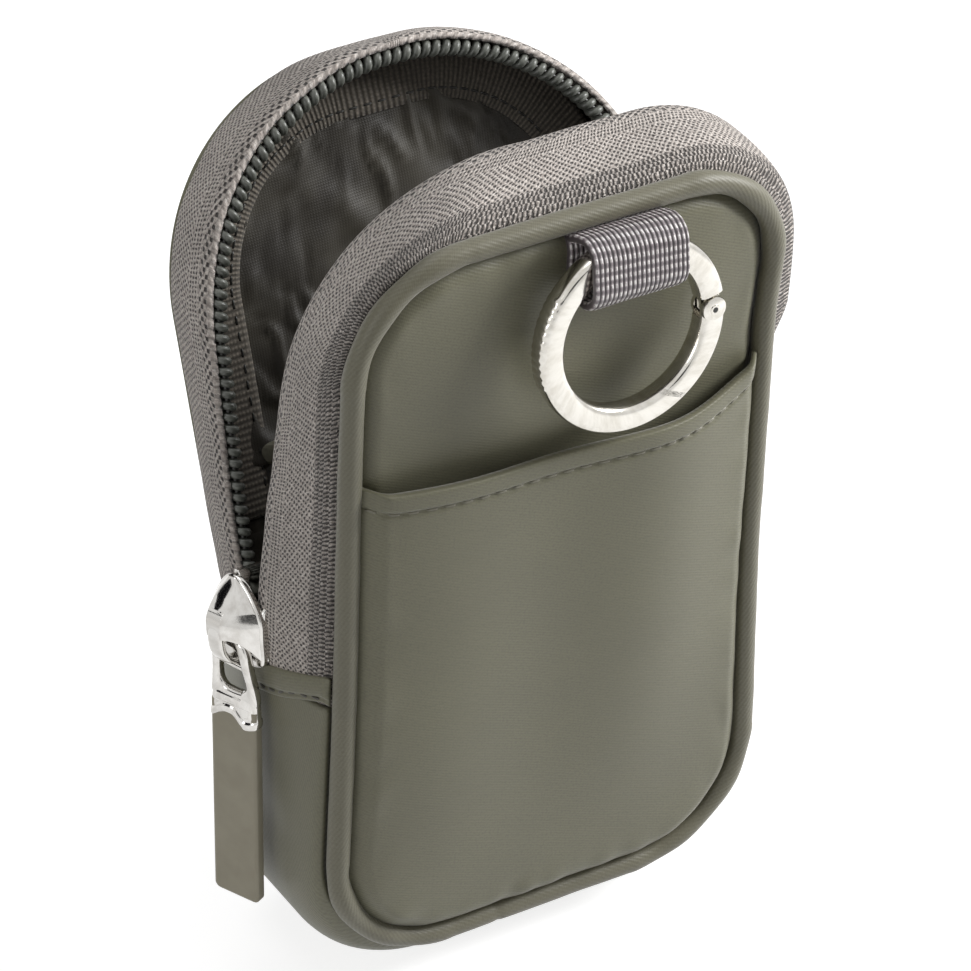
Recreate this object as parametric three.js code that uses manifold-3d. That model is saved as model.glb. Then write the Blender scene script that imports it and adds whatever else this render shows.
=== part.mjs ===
// Zipped key pouch with a front slip pocket, a webbing loop and a spring gate ring.
// Millimetres. +X is right seen from the front, the front faces -Y, +Z is up.
// Every soft piece is drawn with the zip closed; the rear half is then leaned back to rest.
import * as THREE from 'three';
import Module from 'manifold-3d';

const wasm = await Module();
wasm.setup();

// Pouch
const width = 74;
const height = 122.5;
const gussetBulge = 5.5;
const rimSwell = 1.5;
const sideSwell = 3.2;
const bottom = gussetBulge;
const top = bottom + height;
const halfDepth = 15.6;
const frontTopRadius = 19;
const bottomRadius = 21;
const frontRimRadius = 33;
const rearTopRadius = 31;
const rearRimRadius = 36;
const zipRise = 48.5;
const zipEnd = bottom + zipRise;
const rearLean = 24;
const foldGap = 0.2;
const layerGap = 0.03;
const seamGap = 0.05;

// Layers
const pipingRadius = 1.9;
const shellThick = 1.2;
const padThick = 2;
const liningThick = 0.6;
const tapeThick = 0.9;
const gussetThick = 1.2;
const gussetLiningThick = 0.5;
const gussetFlatHalf = 12;
const gussetEndHalf = 4;
const gussetLiningHalf = 12.2;
const gussetLiningGap = 0.3;
const layerInset = 1.6;
const sideClear = 0.2;
const rearEdge = 0.9;
const gussetHemOut = 0.3;
const gussetHemThick = 0.7;
const gussetHemTall = 3.5;

// Zip
const rimMid = 1.4;
const rimGap = 0.7;
const coilWide = 2.3;
const coilDeep = 2.2;
const coilLift = 0.8;
const coilSet = 0.1;
const sliderLength = 15;
const sliderHalfWide = 5.4;
const sliderPlate = 1.2;
const sliderClear = 0.3;
const sliderPostHalf = 0.4;
const sliderRise = 1.5;
const sliderBase = zipEnd + sliderRise;

// Pull
const crownHalf = 1.5;
const crownRise = 4.6;
const pivotRise = 4;
const pivotOut = 2.15;
const eyeRadius = 1.35;
const pivotHeight = sliderBase + pivotRise;
const linkBar = 1.5;
const linkClear = 0.35;
const linkSide = 1.7;
const linkLength = 10;
const linkCorner = 0.8;
const linkFoot = 3;
const windowFoot = 2.2;
const capHalf = 4.6;
const capLength = 5.5;
const capThick = 3.5;
const capOver = 0.4;
const capDip = 1.6;
const tabHalf = 4.6;
const tabThick = 2.3;
const tabLength = 34;
const tabTuck = 1.2;
const tabEdge = 0.6;
const tabCorner = 1.1;
const tabClear = 0.06;
const pullHang = 2.4;

// Card pocket inside
const cardPocketHalf = 30;
const cardPocketFloor = 9;
const cardPocketAbove = 22;
const cardPocketLow = bottom + cardPocketFloor;
const cardPocketMouth = zipEnd + cardPocketAbove;
const cardGap = 1.2;
const cardSheet = 0.6;
const bindingTall = 3;

// Webbing loop and ring
const loopCentre = 5.2;
const loopHalf = 8.5;
const webThick = 1.3;
const loopOuterRadius = 4.1;
const loopDrop = 12.7;
const loopSeamDrop = 4.4;
const loopLip = 1.1;
const barRoom = 2.65;
const ringSet = 0.15;
const ringRadius = 13.2;
const ringHalfRadial = 2.1;
const ringHalfAxial = 1.75;
const ringTilt = 4;
const ringDrop = 4.6;
const ringTopHeight = top - ringDrop;
const gatePinAngle = 1;
const gatePinRadius = 0.7;
const gatePinClear = 0.05;
const pinProud = 0.1;
const gateEndAngle = -59;
const gateCutAngle = 246;
const gateCutGap = 0.25;
const knuckleGap = 0.35;
const tongueHalf = 0.55;
const tongueClear = 0.3;

// Front pocket: its mouth lies just below the hanging ring.
const ringLow = ringTopHeight - 2 * ringRadius - ringHalfRadial;
const pocketClear = 3.1;
const pocketMouth = ringLow - pocketClear;
const pocketThick = 0.9;
const pocketSlack = 1.6;
const hemTall = 3;
const hemThick = 0.5;

const rad = Math.PI / 180;
const v3 = (x, y, z) => new THREE.Vector3(x, y, z);
const smooth = (t) => t * t * (3 - 2 * t);
const clamp01 = (t) => Math.min(1, Math.max(0, t));

// A closed polygon in 3-D cut into triangles that wind the way the polygon runs.
function capFaces(points) {
  const normal = v3(0, 0, 0);
  points.forEach((p, i) => {
    const q = points[(i + 1) % points.length];
    normal.x += (p.y - q.y) * (p.z + q.z);
    normal.y += (p.z - q.z) * (p.x + q.x);
    normal.z += (p.x - q.x) * (p.y + q.y);
  });
  const sizes = [Math.abs(normal.x), Math.abs(normal.y), Math.abs(normal.z)];
  const drop = sizes.indexOf(Math.max(...sizes));
  const flat = points.map((p) => {
    const c = [p.x, p.y, p.z];
    c.splice(drop, 1);
    return new THREE.Vector2(c[0], c[1]);
  });
  const turn = Math.sign(THREE.ShapeUtils.area(flat));
  return THREE.ShapeUtils.triangulateShape(flat.slice(), []).map((f) => {
    const face = Math.sign(THREE.ShapeUtils.area(f.map((i) => flat[i])));
    return face === turn ? f : [f[0], f[2], f[1]];
  });
}

function signedVolume(position, index) {
  let sum = 0;
  const p = (i) => v3(position[3 * i], position[3 * i + 1], position[3 * i + 2]);
  for (let i = 0; i < index.length; i += 3) {
    sum += p(index[i]).dot(p(index[i + 1]).cross(p(index[i + 2])));
  }
  return sum;
}

// One closed solid through a row of matching polygons.
function loft(sections, closed = false) {
  const n = sections[0].length;
  const position = [];
  sections.forEach((s) => s.forEach((p) => position.push(p.x, p.y, p.z)));
  const index = [];
  const steps = closed ? sections.length : sections.length - 1;
  for (let i = 0; i < steps; i += 1) {
    const j = (i + 1) % sections.length;
    for (let k = 0; k < n; k += 1) {
      const m = (k + 1) % n;
      index.push(i * n + k, i * n + m, j * n + m);
      index.push(i * n + k, j * n + m, j * n + k);
    }
  }
  if (!closed) {
    const end = (sections.length - 1) * n;
    capFaces(sections[0]).forEach((f) => index.push(f[0], f[2], f[1]));
    capFaces(sections[sections.length - 1]).forEach((f) => {
      index.push(end + f[0], end + f[1], end + f[2]);
    });
  }
  if (signedVolume(position, index) < 0) {
    for (let i = 0; i < index.length; i += 3) {
      [index[i + 1], index[i + 2]] = [index[i + 2], index[i + 1]];
    }
  }
  const geometry = new THREE.BufferGeometry();
  geometry.setAttribute('position', new THREE.Float32BufferAttribute(position, 3));
  geometry.setIndex(index);
  return geometry;
}

function toManifold(geometry) {
  const mesh = new wasm.Mesh({
    numProp: 3,
    vertProperties: new Float32Array(geometry.attributes.position.array),
    triVerts: new Uint32Array(geometry.index.array),
  });
  mesh.merge();
  return new wasm.Manifold(mesh);
}

function fromManifold(body) {
  const mesh = body.getMesh();
  const geometry = new THREE.BufferGeometry();
  geometry.setAttribute('position', new THREE.Float32BufferAttribute(mesh.vertProperties, 3));
  geometry.setIndex(Array.from(mesh.triVerts));
  return geometry;
}

const join = (a, b) => fromManifold(toManifold(a).add(toManifold(b)));
const cut = (a, b) => fromManifold(toManifold(a).subtract(toManifold(b)));

// Arc points from one angle to the next in degrees, with their outward normals.
function arc(cx, cz, r, from, to, steps) {
  return Array.from({ length: steps + 1 }, (_, i) => {
    const a = (from + ((to - from) * i) / steps) * rad;
    return { x: cx + r * Math.cos(a), z: cz + r * Math.sin(a), nx: Math.cos(a), nz: Math.sin(a) };
  });
}

function run(a, b, steps) {
  return Array.from({ length: steps - 1 }, (_, i) => {
    const t = (i + 1) / steps;
    return { x: a.x + (b.x - a.x) * t, z: a.z + (b.z - a.z) * t, nx: a.nx, nz: a.nz };
  });
}

// Up the left side from low, over the top and down the right side.
function arch(inset, radius, low) {
  const w = width / 2 - inset;
  const r = radius - inset;
  const h = top - inset;
  const left = { x: -w, z: low, nx: -1, nz: 0 };
  const right = { x: w, z: low, nx: 1, nz: 0 };
  const a = arc(-w + r, h - r, r, 180, 90, 9);
  const b = arc(w - r, h - r, r, 90, 0, 9);
  return [left, ...run(left, a[0], 5), ...a, ...run(a[9], b[0], 3), ...b, ...run(b[9], right, 5), right];
}

// Down the left side from high, under the bottom and up the right side.
function bowl(inset, high) {
  const w = width / 2 - inset;
  const r = bottomRadius - inset;
  const h = bottom + inset;
  const left = { x: -w, z: high, nx: -1, nz: 0 };
  const right = { x: w, z: high, nx: 1, nz: 0 };
  const a = arc(-w + r, h + r, r, 180, 270, 9);
  const b = arc(w - r, h + r, r, 270, 360, 9);
  return [left, ...run(left, a[0], 5), ...a, ...run(a[9], b[0], 3), ...b, ...run(b[9], right, 5), right];
}

function outline(inset, radius) {
  return [...arch(inset, radius, zipEnd), ...bowl(inset, zipEnd).reverse().slice(1, -1)];
}

const at = (p, out, y) => v3(p.x + p.nx * out, y, p.z + p.nz * out);
const slab = (path, y0, y1) => loft([path.map((p) => at(p, 0, y0)), path.map((p) => at(p, 0, y1))]);

// A box between two corners.
function block(x0, y0, z0, x1, y1, z1) {
  const ring = (z) => [v3(x0, y0, z), v3(x1, y0, z), v3(x1, y1, z), v3(x0, y1, z)];
  return loft([ring(z0), ring(z1)]);
}

// Front half, from the outside in
const frontFace = -halfDepth - shellThick / 2;
const panelInset = 2 * pipingRadius + layerGap;
const frontPanel = slab(outline(panelInset, frontTopRadius), frontFace, frontFace + shellThick);
const frontPadFace = frontFace + shellThick + layerGap;
const frontPadding = slab(
  outline(panelInset + seamGap, frontTopRadius), frontPadFace, frontPadFace + padThick,
);
const frontLiningFace = frontPadFace + padThick + layerGap;
const frontLining = slab(
  outline(layerInset, frontTopRadius), frontLiningFace, frontLiningFace + liningThick,
);

const frontPiping = loft(outline(pipingRadius, frontTopRadius).map((p) => (
  Array.from({ length: 8 }, (_, k) => {
    const a = k * 45 * rad;
    return at(p, pipingRadius * Math.cos(a), -halfDepth + pipingRadius * Math.sin(a));
  })
)), true);

const seamFront = -halfDepth + pipingRadius + seamGap;
const rearShellInner = halfDepth - shellThick;
const seamRear = rearShellInner - seamGap;

// The front slip pocket leans away from the panel towards its mouth.
const pocketLow = bottom + panelInset;
const pocketLean = (z) => pocketSlack * clamp01((z - pocketLow) / (pocketMouth - pocketLow));
const pocketBack = (p) => frontFace - layerGap - pocketLean(p.z);
const pocketPath = bowl(panelInset, pocketMouth);
const frontPocket = loft([
  pocketPath.map((p) => at(p, 0, pocketBack(p))),
  pocketPath.map((p) => at(p, 0, pocketBack(p) - pocketThick)),
]);
const hemBack = frontFace - pocketSlack - pocketThick - 2 * layerGap;
const hemHalf = width / 2 - panelInset;
const pocketHem = block(
  -hemHalf, hemBack - hemThick, pocketMouth - hemTall, hemHalf, hemBack, pocketMouth,
);

// Zip tapes and coils run from one zip end over the top to the other. They stand out towards the
// rims, most along the straight sides, where the slider runs.
const rimOut = (p) => sideSwell + (rimSwell - sideSwell) * smooth(clamp01(p.nz));
function tape(seamRadius, seamY, rimRadius, rimY) {
  const seam = arch(0, seamRadius, zipEnd + foldGap);
  const rim = arch(0, rimRadius, zipEnd + foldGap);
  return loft(seam.map((p, i) => [
    at(p, 0, seamY), at(rim[i], rimOut(rim[i]), rimY),
    at(rim[i], rimOut(rim[i]) - tapeThick, rimY), at(p, -tapeThick, seamY),
  ]));
}

const coilBack = tapeThick + layerGap + coilLift;
function coil(rimRadius, side) {
  const near = rimMid + side * (rimGap + coilSet);
  const far = near + side * coilWide;
  const mid = (near + far) / 2;
  return loft(arch(0, rimRadius, zipEnd + foldGap + layerInset).map((p) => {
    const back = rimOut(p) - coilBack;
    return [
      at(p, back, near), at(p, back, far), at(p, back - coilDeep * 0.6, far),
      at(p, back - coilDeep, mid), at(p, back - coilDeep * 0.6, near),
    ];
  }));
}

const frontTape = tape(frontTopRadius, seamFront, frontRimRadius, rimMid - rimGap);
const frontCoil = coil(frontRimRadius, -1);

// The lower gusset hangs low and flat underneath, and narrows to a ridge towards the zip ends.
const cornerTop = bottom + bottomRadius;
const towardsZip = (p) => smooth(clamp01((p.z - cornerTop) / (zipEnd - cornerTop)));
const wallOut = (p) => rimSwell + (sideSwell - rimSwell) * towardsZip(p);
const swell = (p) => wallOut(p) + (gussetBulge - wallOut(p)) * smooth(clamp01(-p.nz));
const flatHalf = (p) => gussetFlatHalf + (gussetEndHalf - gussetFlatHalf) * towardsZip(p);
function swellAt(p, y) {
  const seam = y < 0 ? seamFront : seamRear;
  const rise = clamp01((y - seam) / (Math.sign(y) * flatHalf(p) - seam));
  return swell(p) * rise;
}
// One cross-section of cloth that follows the swell from y0 to y1.
function gussetSection(p, y0, y1, drop, thick) {
  const spots = [y0, -flatHalf(p), flatHalf(p), y1];
  const outer = spots.map((y) => at(p, swellAt(p, y) - drop, y));
  const inner = spots.map((y) => at(p, swellAt(p, y) - drop - thick, y));
  return [...outer, ...inner.reverse()];
}
const gussetPath = bowl(0, zipEnd - foldGap);
const lowerGusset = loft(gussetPath.map((p) => gussetSection(p, seamFront, seamRear, 0, gussetThick)));
const gussetLining = loft(gussetPath.map((p) => gussetSection(
  p, -gussetLiningHalf, gussetLiningHalf, gussetThick + gussetLiningGap, gussetLiningThick,
)));

// Folded gusset ends that cover the ends of the zip.
function gussetHem(side) {
  const inner = [
    [gussetHemOut, seamFront], [sideSwell + gussetHemOut, -gussetEndHalf],
    [sideSwell + gussetHemOut, gussetEndHalf], [gussetHemOut, seamRear],
  ];
  const outer = inner.map(([out, y]) => [out + gussetHemThick, y]).reverse();
  const ring = (z) => [...inner, ...outer].map(([out, y]) => v3(side * (width / 2 + out), y, z));
  return loft([ring(zipEnd - gussetHemTall), ring(zipEnd)]);
}

// Rear panel with a softened outer edge, in a lower and an upper piece that meet at the fold.
function rearShell(path) {
  return loft([
    path(0).map((p) => at(p, 0, rearShellInner)),
    path(0).map((p) => at(p, 0, halfDepth - rearEdge * 0.6)),
    path(rearEdge).map((p) => at(p, 0, halfDepth)),
  ]);
}
const upperEnd = zipEnd + foldGap;
const lowerEnd = zipEnd - foldGap;
const rearPanelLower = rearShell((inset) => bowl(inset, lowerEnd));
const rearPanelUpper = rearShell((inset) => arch(inset, rearTopRadius, upperEnd));
const rearPadFace = rearShellInner - layerGap;
const rearLiningFace = rearPadFace - padThick - layerGap;
const rearLiningInner = rearLiningFace - liningThick;
const lowerInset = gussetThick + gussetLiningThick + sideClear;
const rearPaddingLower = slab(bowl(lowerInset, lowerEnd), rearPadFace - padThick, rearPadFace);
const rearLiningLower = slab(bowl(lowerInset, lowerEnd), rearLiningInner, rearLiningFace);
const rearPaddingUpper = slab(
  arch(layerInset, rearTopRadius, upperEnd), rearPadFace - padThick, rearPadFace,
);
const rearLiningUpper = slab(
  arch(layerInset, rearTopRadius, upperEnd), rearLiningInner, rearLiningFace,
);
const rearTape = tape(rearTopRadius, seamRear, rearRimRadius, rimMid + rimGap);
const rearCoil = coil(rearRimRadius, 1);

// The card pocket is a shallow tray on the rear lining, open at the top.
const cardBack = rearLiningInner - layerGap;
const cardFront = cardBack - cardGap - cardSheet;
function cardTray(low, high) {
  const inner = cardPocketHalf - cardSheet;
  const ring = (z) => [
    v3(-cardPocketHalf, cardBack, z), v3(-cardPocketHalf, cardFront, z),
    v3(cardPocketHalf, cardFront, z), v3(cardPocketHalf, cardBack, z),
    v3(inner, cardBack, z), v3(inner, cardFront + cardSheet, z),
    v3(-inner, cardFront + cardSheet, z), v3(-inner, cardBack, z),
  ];
  return loft([ring(low), ring(high)]);
}
const cardPocketLower = cardTray(cardPocketLow, lowerEnd);
const cardPocketUpper = cardTray(upperEnd, cardPocketMouth);
const bindingFace = cardFront - layerGap;
const cardPocketBinding = block(
  -cardPocketHalf, bindingFace - cardSheet, cardPocketMouth - bindingTall,
  cardPocketHalf, bindingFace, cardPocketMouth,
);

// The rear half turns about the middle of its shell at the fold.
const hingeY = halfDepth - shellThick / 2;
function leanBack(geometry) {
  geometry.translate(0, -hingeY, -zipEnd);
  geometry.rotateX(-rearLean * rad);
  return geometry.translate(0, hingeY, zipEnd);
}

// Slider: an outer and an inner plate joined by a post that runs in the gap between the rims.
const toRims = (geometry) => geometry.translate(0, rimMid, 0);
const wall = -width / 2 - sideSwell;
const outerPlateIn = wall - sliderClear;
const outerPlateOut = outerPlateIn - sliderPlate;
const innerPlateOut = wall + coilBack + coilDeep + 2 * sliderClear;
const innerPlateIn = innerPlateOut + sliderPlate;
const sliderShape = [
  [0, 0.72], [0.08, 0.82], [0.4, 0.86], [0.63, 1], [0.83, 0.96], [0.95, 0.8], [1, 0.6],
];
const sliderBody = loft(sliderShape.map(([z, k]) => {
  const h = sliderHalfWide * k;
  const s = sliderPostHalf;
  return [
    [outerPlateOut, -h], [outerPlateOut, h], [outerPlateIn, h], [outerPlateIn, s],
    [innerPlateOut, s], [innerPlateOut, h], [innerPlateIn, h], [innerPlateIn, -h],
    [innerPlateOut, -h], [innerPlateOut, -s], [outerPlateIn, -s], [outerPlateIn, -h],
  ].map(([x, y]) => v3(x, y, sliderBase + z * sliderLength));
}));

// The crown is a bridge on the outer plate with an eye for the pull.
const crownFoot = outerPlateOut - layerGap;
const pivotX = crownFoot - pivotOut;
const crownOuter = [
  [0, 0.04], [0.56, 0.04], [0.89, 0.13], [1, 0.28], [0.94, 0.53], [0.7, 0.76], [0.26, 0.91], [0, 0.95],
].map(([out, up]) => [crownFoot - out * crownRise, up * sliderLength]);
const eye = arc(pivotX, pivotRise, eyeRadius, 0, 330, 11).map((p) => [p.x, p.z]);
function bridge(points, half) {
  const ring = (y) => points.map(([x, z]) => v3(x, y, sliderBase + z));
  return loft([ring(-half), ring(half)]);
}
const sliderCrown = cut(bridge(crownOuter, crownHalf), bridge(eye, 2 * crownHalf));

// Pull link: a flat frame whose top bar passes through the eye of the crown.
function plate(points, x0, x1) {
  const ring = (x) => points.map(([y, z]) => v3(x, y, z));
  return loft([ring(x0), ring(x1)]);
}
const windowHalf = crownHalf + linkClear;
const linkHalf = windowHalf + linkSide;
const linkTop = pivotHeight + linkBar / 2;
const linkLow = pivotHeight - linkLength;
const linkX0 = pivotX - linkBar / 2;
const linkX1 = pivotX + linkBar / 2;
const linkOuter = [
  [-linkHalf + linkCorner, linkTop], [-linkHalf, linkTop - linkCorner],
  [-linkHalf - linkCorner * 0.6, linkLow + linkFoot], [-linkHalf - linkCorner, linkLow],
  [linkHalf + linkCorner, linkLow], [linkHalf + linkCorner * 0.6, linkLow + linkFoot],
  [linkHalf, linkTop - linkCorner], [linkHalf - linkCorner, linkTop],
];
const linkWindow = [
  [-windowHalf, pivotHeight - linkBar / 2], [-windowHalf, linkLow + windowFoot + linkCorner],
  [-windowHalf + linkCorner, linkLow + windowFoot], [windowHalf - linkCorner, linkLow + windowFoot],
  [windowHalf, linkLow + windowFoot + linkCorner], [windowHalf, pivotHeight - linkBar / 2],
];
const pullLink = cut(plate(linkOuter, linkX0, linkX1), plate(linkWindow, linkX0 - linkBar, linkX1 + linkBar));

// The crimped cap grips the rubber tab below the link.
const capTop = linkLow - layerGap;
const capLow = capTop - capLength;
const tabTop = capTop - tabTuck;
const tabEnd = tabTop - tabLength;
const tabX0 = pivotX - tabThick / 2;
const tabX1 = pivotX + tabThick / 2;
function tabRing(x, grow) {
  const h = tabHalf - grow;
  const c = tabCorner;
  const low = tabEnd + grow;
  return [
    [-h, tabTop], [-h, low + c], [-h + c * 0.3, low + c * 0.3], [-h + c, low],
    [h - c, low], [h - c * 0.3, low + c * 0.3], [h, low + c], [h, tabTop],
  ].map(([y, z]) => v3(x, y, z));
}
const pullTab = loft([
  tabRing(tabX0, tabEdge), tabRing(tabX0 + tabEdge, 0), tabRing(tabX1 - tabEdge, 0), tabRing(tabX1, tabEdge),
]);
const capX0 = pivotX - capThick / 2;
const capX1 = pivotX + capThick / 2;
const capSide = capHalf + capOver;
const capOuter = [
  [-capSide, capTop], [-capSide, capLow], [0, capLow + capDip], [capSide, capLow], [capSide, capTop],
];
const pullCap = cut(plate(capOuter, capX0, capX1), block(
  tabX0 - tabClear, -2 * capSide, capLow - 1, tabX1 + tabClear, 2 * capSide, tabTop + tabClear,
));

// The pull hangs in a little towards the gusset.
function hung(geometry) {
  geometry.translate(-pivotX, 0, -pivotHeight);
  geometry.rotateY(-pullHang * rad);
  return geometry.translate(pivotX, 0, pivotHeight);
}

// Webbing loop: one band that runs down the panel, under and up past the ring's bar, over it and back.
const webBack = frontFace - layerGap;
const loopAxisY = webBack - loopOuterRadius;
const loopLow = top - loopDrop;
const loopSeam = top - loopSeamDrop;
const barY = loopAxisY - ringSet;
function turn(y, z, r, from, to, steps) {
  return arc(y, z, r, from, to, steps).map((p) => [p.x, p.z]);
}
function loopRing(grow) {
  const under = turn(loopAxisY, loopLow + loopOuterRadius, loopOuterRadius - grow, 360, 180, 10);
  const over = turn(barY, ringTopHeight, barRoom + webThick - grow, 180, 55, 8);
  return [
    [webBack - grow, loopSeam - grow], ...under, ...over,
    [webBack - loopLip - 0.85 * grow, loopSeam + 0.6 * loopLip + 0.45 * grow],
  ];
}
function acrossX(points, half) {
  const ring = (x) => points.map(([y, z]) => v3(x, y, z));
  return loft([ring(loopCentre - half), ring(loopCentre + half)]);
}
const webbingLoop = cut(acrossX(loopRing(0), loopHalf), acrossX(loopRing(webThick), 2 * loopHalf));

// Ring plane: a across, b up, c towards the front; the lower edge lies nearer the panel.
const ringUp = v3(0, -Math.sin(ringTilt * rad), Math.cos(ringTilt * rad));
const ringFront = v3(0, -Math.cos(ringTilt * rad), -Math.sin(ringTilt * rad));
const ringTopPoint = v3(loopCentre, barY, ringTopHeight);
const ringCentre = ringTopPoint.clone().addScaledVector(ringUp, -ringRadius);
const inRing = (a, b, c) => ringCentre.clone()
  .add(v3(a, 0, 0)).addScaledVector(ringUp, b).addScaledVector(ringFront, c);

const ringSection = [
  [-1, -0.45], [-0.72, -1], [0.72, -1], [1, -0.45], [1, 0.45], [0.72, 1], [-0.72, 1], [-1, 0.45],
];
function ringArc(from, to, steps) {
  return loft(Array.from({ length: steps + 1 }, (_, i) => {
    const a = (from + ((to - from) * i) / steps) * rad;
    return ringSection.map(([u, w]) => {
      const r = ringRadius + u * ringHalfRadial;
      return inRing(r * Math.cos(a), r * Math.sin(a), w * ringHalfAxial);
    });
  }));
}
const pinA = ringRadius * Math.cos(gatePinAngle * rad);
const pinB = ringRadius * Math.sin(gatePinAngle * rad);
function pinCylinder(r, half, sides) {
  const ring = (c) => Array.from({ length: sides }, (_, i) => {
    const a = (i / sides) * 2 * Math.PI;
    return inRing(pinA + r * Math.cos(a), pinB + r * Math.sin(a), c);
  });
  return loft([ring(-half), ring(half)]);
}
// A large block on one side of the slanted cut at the gate's nose.
function noseSide(side) {
  const n = [Math.cos(gateCutAngle * rad), Math.sin(gateCutAngle * rad)];
  const t = [-n[1], n[0]];
  const o = [ringRadius * Math.cos(gateEndAngle * rad), ringRadius * Math.sin(gateEndAngle * rad)];
  const corner = (u, w) => [o[0] + n[0] * u + t[0] * w, o[1] + n[1] * u + t[1] * w];
  const near = -side * gateCutGap;
  const reach = 0.6 * ringRadius;
  const far = side * 0.8 * ringRadius;
  const points = [corner(near, -reach), corner(near, reach), corner(far, reach), corner(far, -reach)];
  return loft([-reach, reach].map((c) => points.map(([a, b]) => inRing(a, b, c))));
}
const knuckleRadius = ringHalfRadial;
const ringStart = gatePinAngle + (knuckleRadius + knuckleGap) / ringRadius / rad;
const tongueTop = ringStart + 2;
const tongueWide = 1.5;
function tongue(half, wide) {
  const p = (angle, r) => inRing(r * Math.cos(angle * rad), r * Math.sin(angle * rad), 0);
  const ring = (c) => [
    p(gatePinAngle, ringRadius - wide), p(gatePinAngle, ringRadius + wide),
    p(tongueTop, ringRadius + wide), p(tongueTop, ringRadius - wide),
  ].map((q) => q.addScaledVector(ringFront, c));
  return join(loft([ring(-half), ring(half)]), pinCylinder(wide, half, 20));
}
const pinHole = pinCylinder(gatePinRadius + gatePinClear, 2 * ringHalfAxial, 20);
const ringStock = cut(ringArc(ringStart, 360 + gateEndAngle + 12, 60), noseSide(-1));
const ringBody = cut(join(ringStock, tongue(tongueHalf, tongueWide)), pinHole);
const gateStock = cut(
  join(ringArc(gatePinAngle, gateEndAngle - 14, 18), pinCylinder(knuckleRadius, ringHalfAxial, 24)),
  noseSide(1),
);
const gateSlot = pinCylinder(knuckleRadius + knuckleGap, tongueHalf + tongueClear, 24);
const ringGate = cut(cut(gateStock, gateSlot), pinHole);
const gatePin = pinCylinder(gatePinRadius, ringHalfAxial + pinProud, 20);

const twill = { color: 0x6f6d60, roughness: 0.62, metalness: 0 };
const trim = { color: 0x7d7a6c, roughness: 0.6, metalness: 0 };
const foam = { color: 0x4a4a46, roughness: 0.95, metalness: 0 };
const lining = { color: 0x3a3730, roughness: 0.7, metalness: 0 };
const tapeCloth = { color: 0x87827a, roughness: 0.85, metalness: 0 };
const nylon = { color: 0x4b4d48, roughness: 0.4, metalness: 0 };
const chrome = { color: 0xd9d7d2, roughness: 0.12, metalness: 1 };
const paleMetal = { color: 0xdedacf, roughness: 0.18, metalness: 1 };
const moulded = { color: 0x838074, roughness: 0.55, metalness: 0 };
const webbing = { color: 0x8d8488, roughness: 0.45, metalness: 0 };

const pieces = [
  ['front_panel', frontPanel, twill],
  ['front_padding', frontPadding, foam],
  ['front_lining', frontLining, lining],
  ['front_pocket', frontPocket, twill],
  ['pocket_hem', pocketHem, twill],
  ['front_piping', frontPiping, trim],
  ['front_zip_tape', frontTape, tapeCloth],
  ['front_zip_coil', frontCoil, nylon],
  ['lower_gusset', lowerGusset, twill],
  ['gusset_lining', gussetLining, lining],
  ['left_gusset_hem', gussetHem(-1), twill],
  ['right_gusset_hem', gussetHem(1), twill],
  ['rear_panel_lower', rearPanelLower, twill],
  ['rear_padding_lower', rearPaddingLower, foam],
  ['rear_lining_lower', rearLiningLower, lining],
  ['card_pocket_lower', cardPocketLower, lining],
  ['rear_panel_upper', leanBack(rearPanelUpper), twill],
  ['rear_padding_upper', leanBack(rearPaddingUpper), foam],
  ['rear_lining_upper', leanBack(rearLiningUpper), lining],
  ['rear_zip_tape', leanBack(rearTape), tapeCloth],
  ['rear_zip_coil', leanBack(rearCoil), nylon],
  ['card_pocket_upper', leanBack(cardPocketUpper), lining],
  ['card_pocket_binding', leanBack(cardPocketBinding), twill],
  ['slider_body', toRims(sliderBody), chrome],
  ['slider_crown', toRims(sliderCrown), chrome],
  ['pull_link', toRims(hung(pullLink)), chrome],
  ['pull_cap', toRims(hung(pullCap)), chrome],
  ['pull_tab', toRims(hung(pullTab)), moulded],
  ['webbing_loop', webbingLoop, webbing],
  ['ring_body', ringBody, paleMetal],
  ['ring_gate', ringGate, paleMetal],
  ['gate_pin', gatePin, paleMetal],
];

const part = new THREE.Group();
part.name = 'key_pouch';
pieces.forEach(([name, geometry, look]) => {
  geometry.computeVertexNormals();
  const mesh = new THREE.Mesh(geometry, new THREE.MeshStandardMaterial(look));
  mesh.name = name;
  part.add(mesh);
});

export default part;
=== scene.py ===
import math

import bmesh
import bpy
import numpy as np
from mathutils import Matrix, Vector


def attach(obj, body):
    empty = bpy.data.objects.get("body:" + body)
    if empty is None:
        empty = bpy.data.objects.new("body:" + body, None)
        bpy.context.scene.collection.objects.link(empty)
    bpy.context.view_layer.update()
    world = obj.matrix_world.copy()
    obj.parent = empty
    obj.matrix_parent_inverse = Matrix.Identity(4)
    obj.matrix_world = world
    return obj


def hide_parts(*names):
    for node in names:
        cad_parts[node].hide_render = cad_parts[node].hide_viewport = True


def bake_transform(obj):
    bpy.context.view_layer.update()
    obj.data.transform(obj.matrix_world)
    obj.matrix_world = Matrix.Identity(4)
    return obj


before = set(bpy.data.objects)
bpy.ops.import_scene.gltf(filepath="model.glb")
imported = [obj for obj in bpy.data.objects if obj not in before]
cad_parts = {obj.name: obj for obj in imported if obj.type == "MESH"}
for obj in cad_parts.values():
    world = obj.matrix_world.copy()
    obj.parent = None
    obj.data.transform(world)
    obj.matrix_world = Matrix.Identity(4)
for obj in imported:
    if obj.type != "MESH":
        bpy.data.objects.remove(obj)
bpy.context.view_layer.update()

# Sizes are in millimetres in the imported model's frame; meshes are scaled to metres when they are made.
mm = 0.001
pi = math.pi
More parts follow.
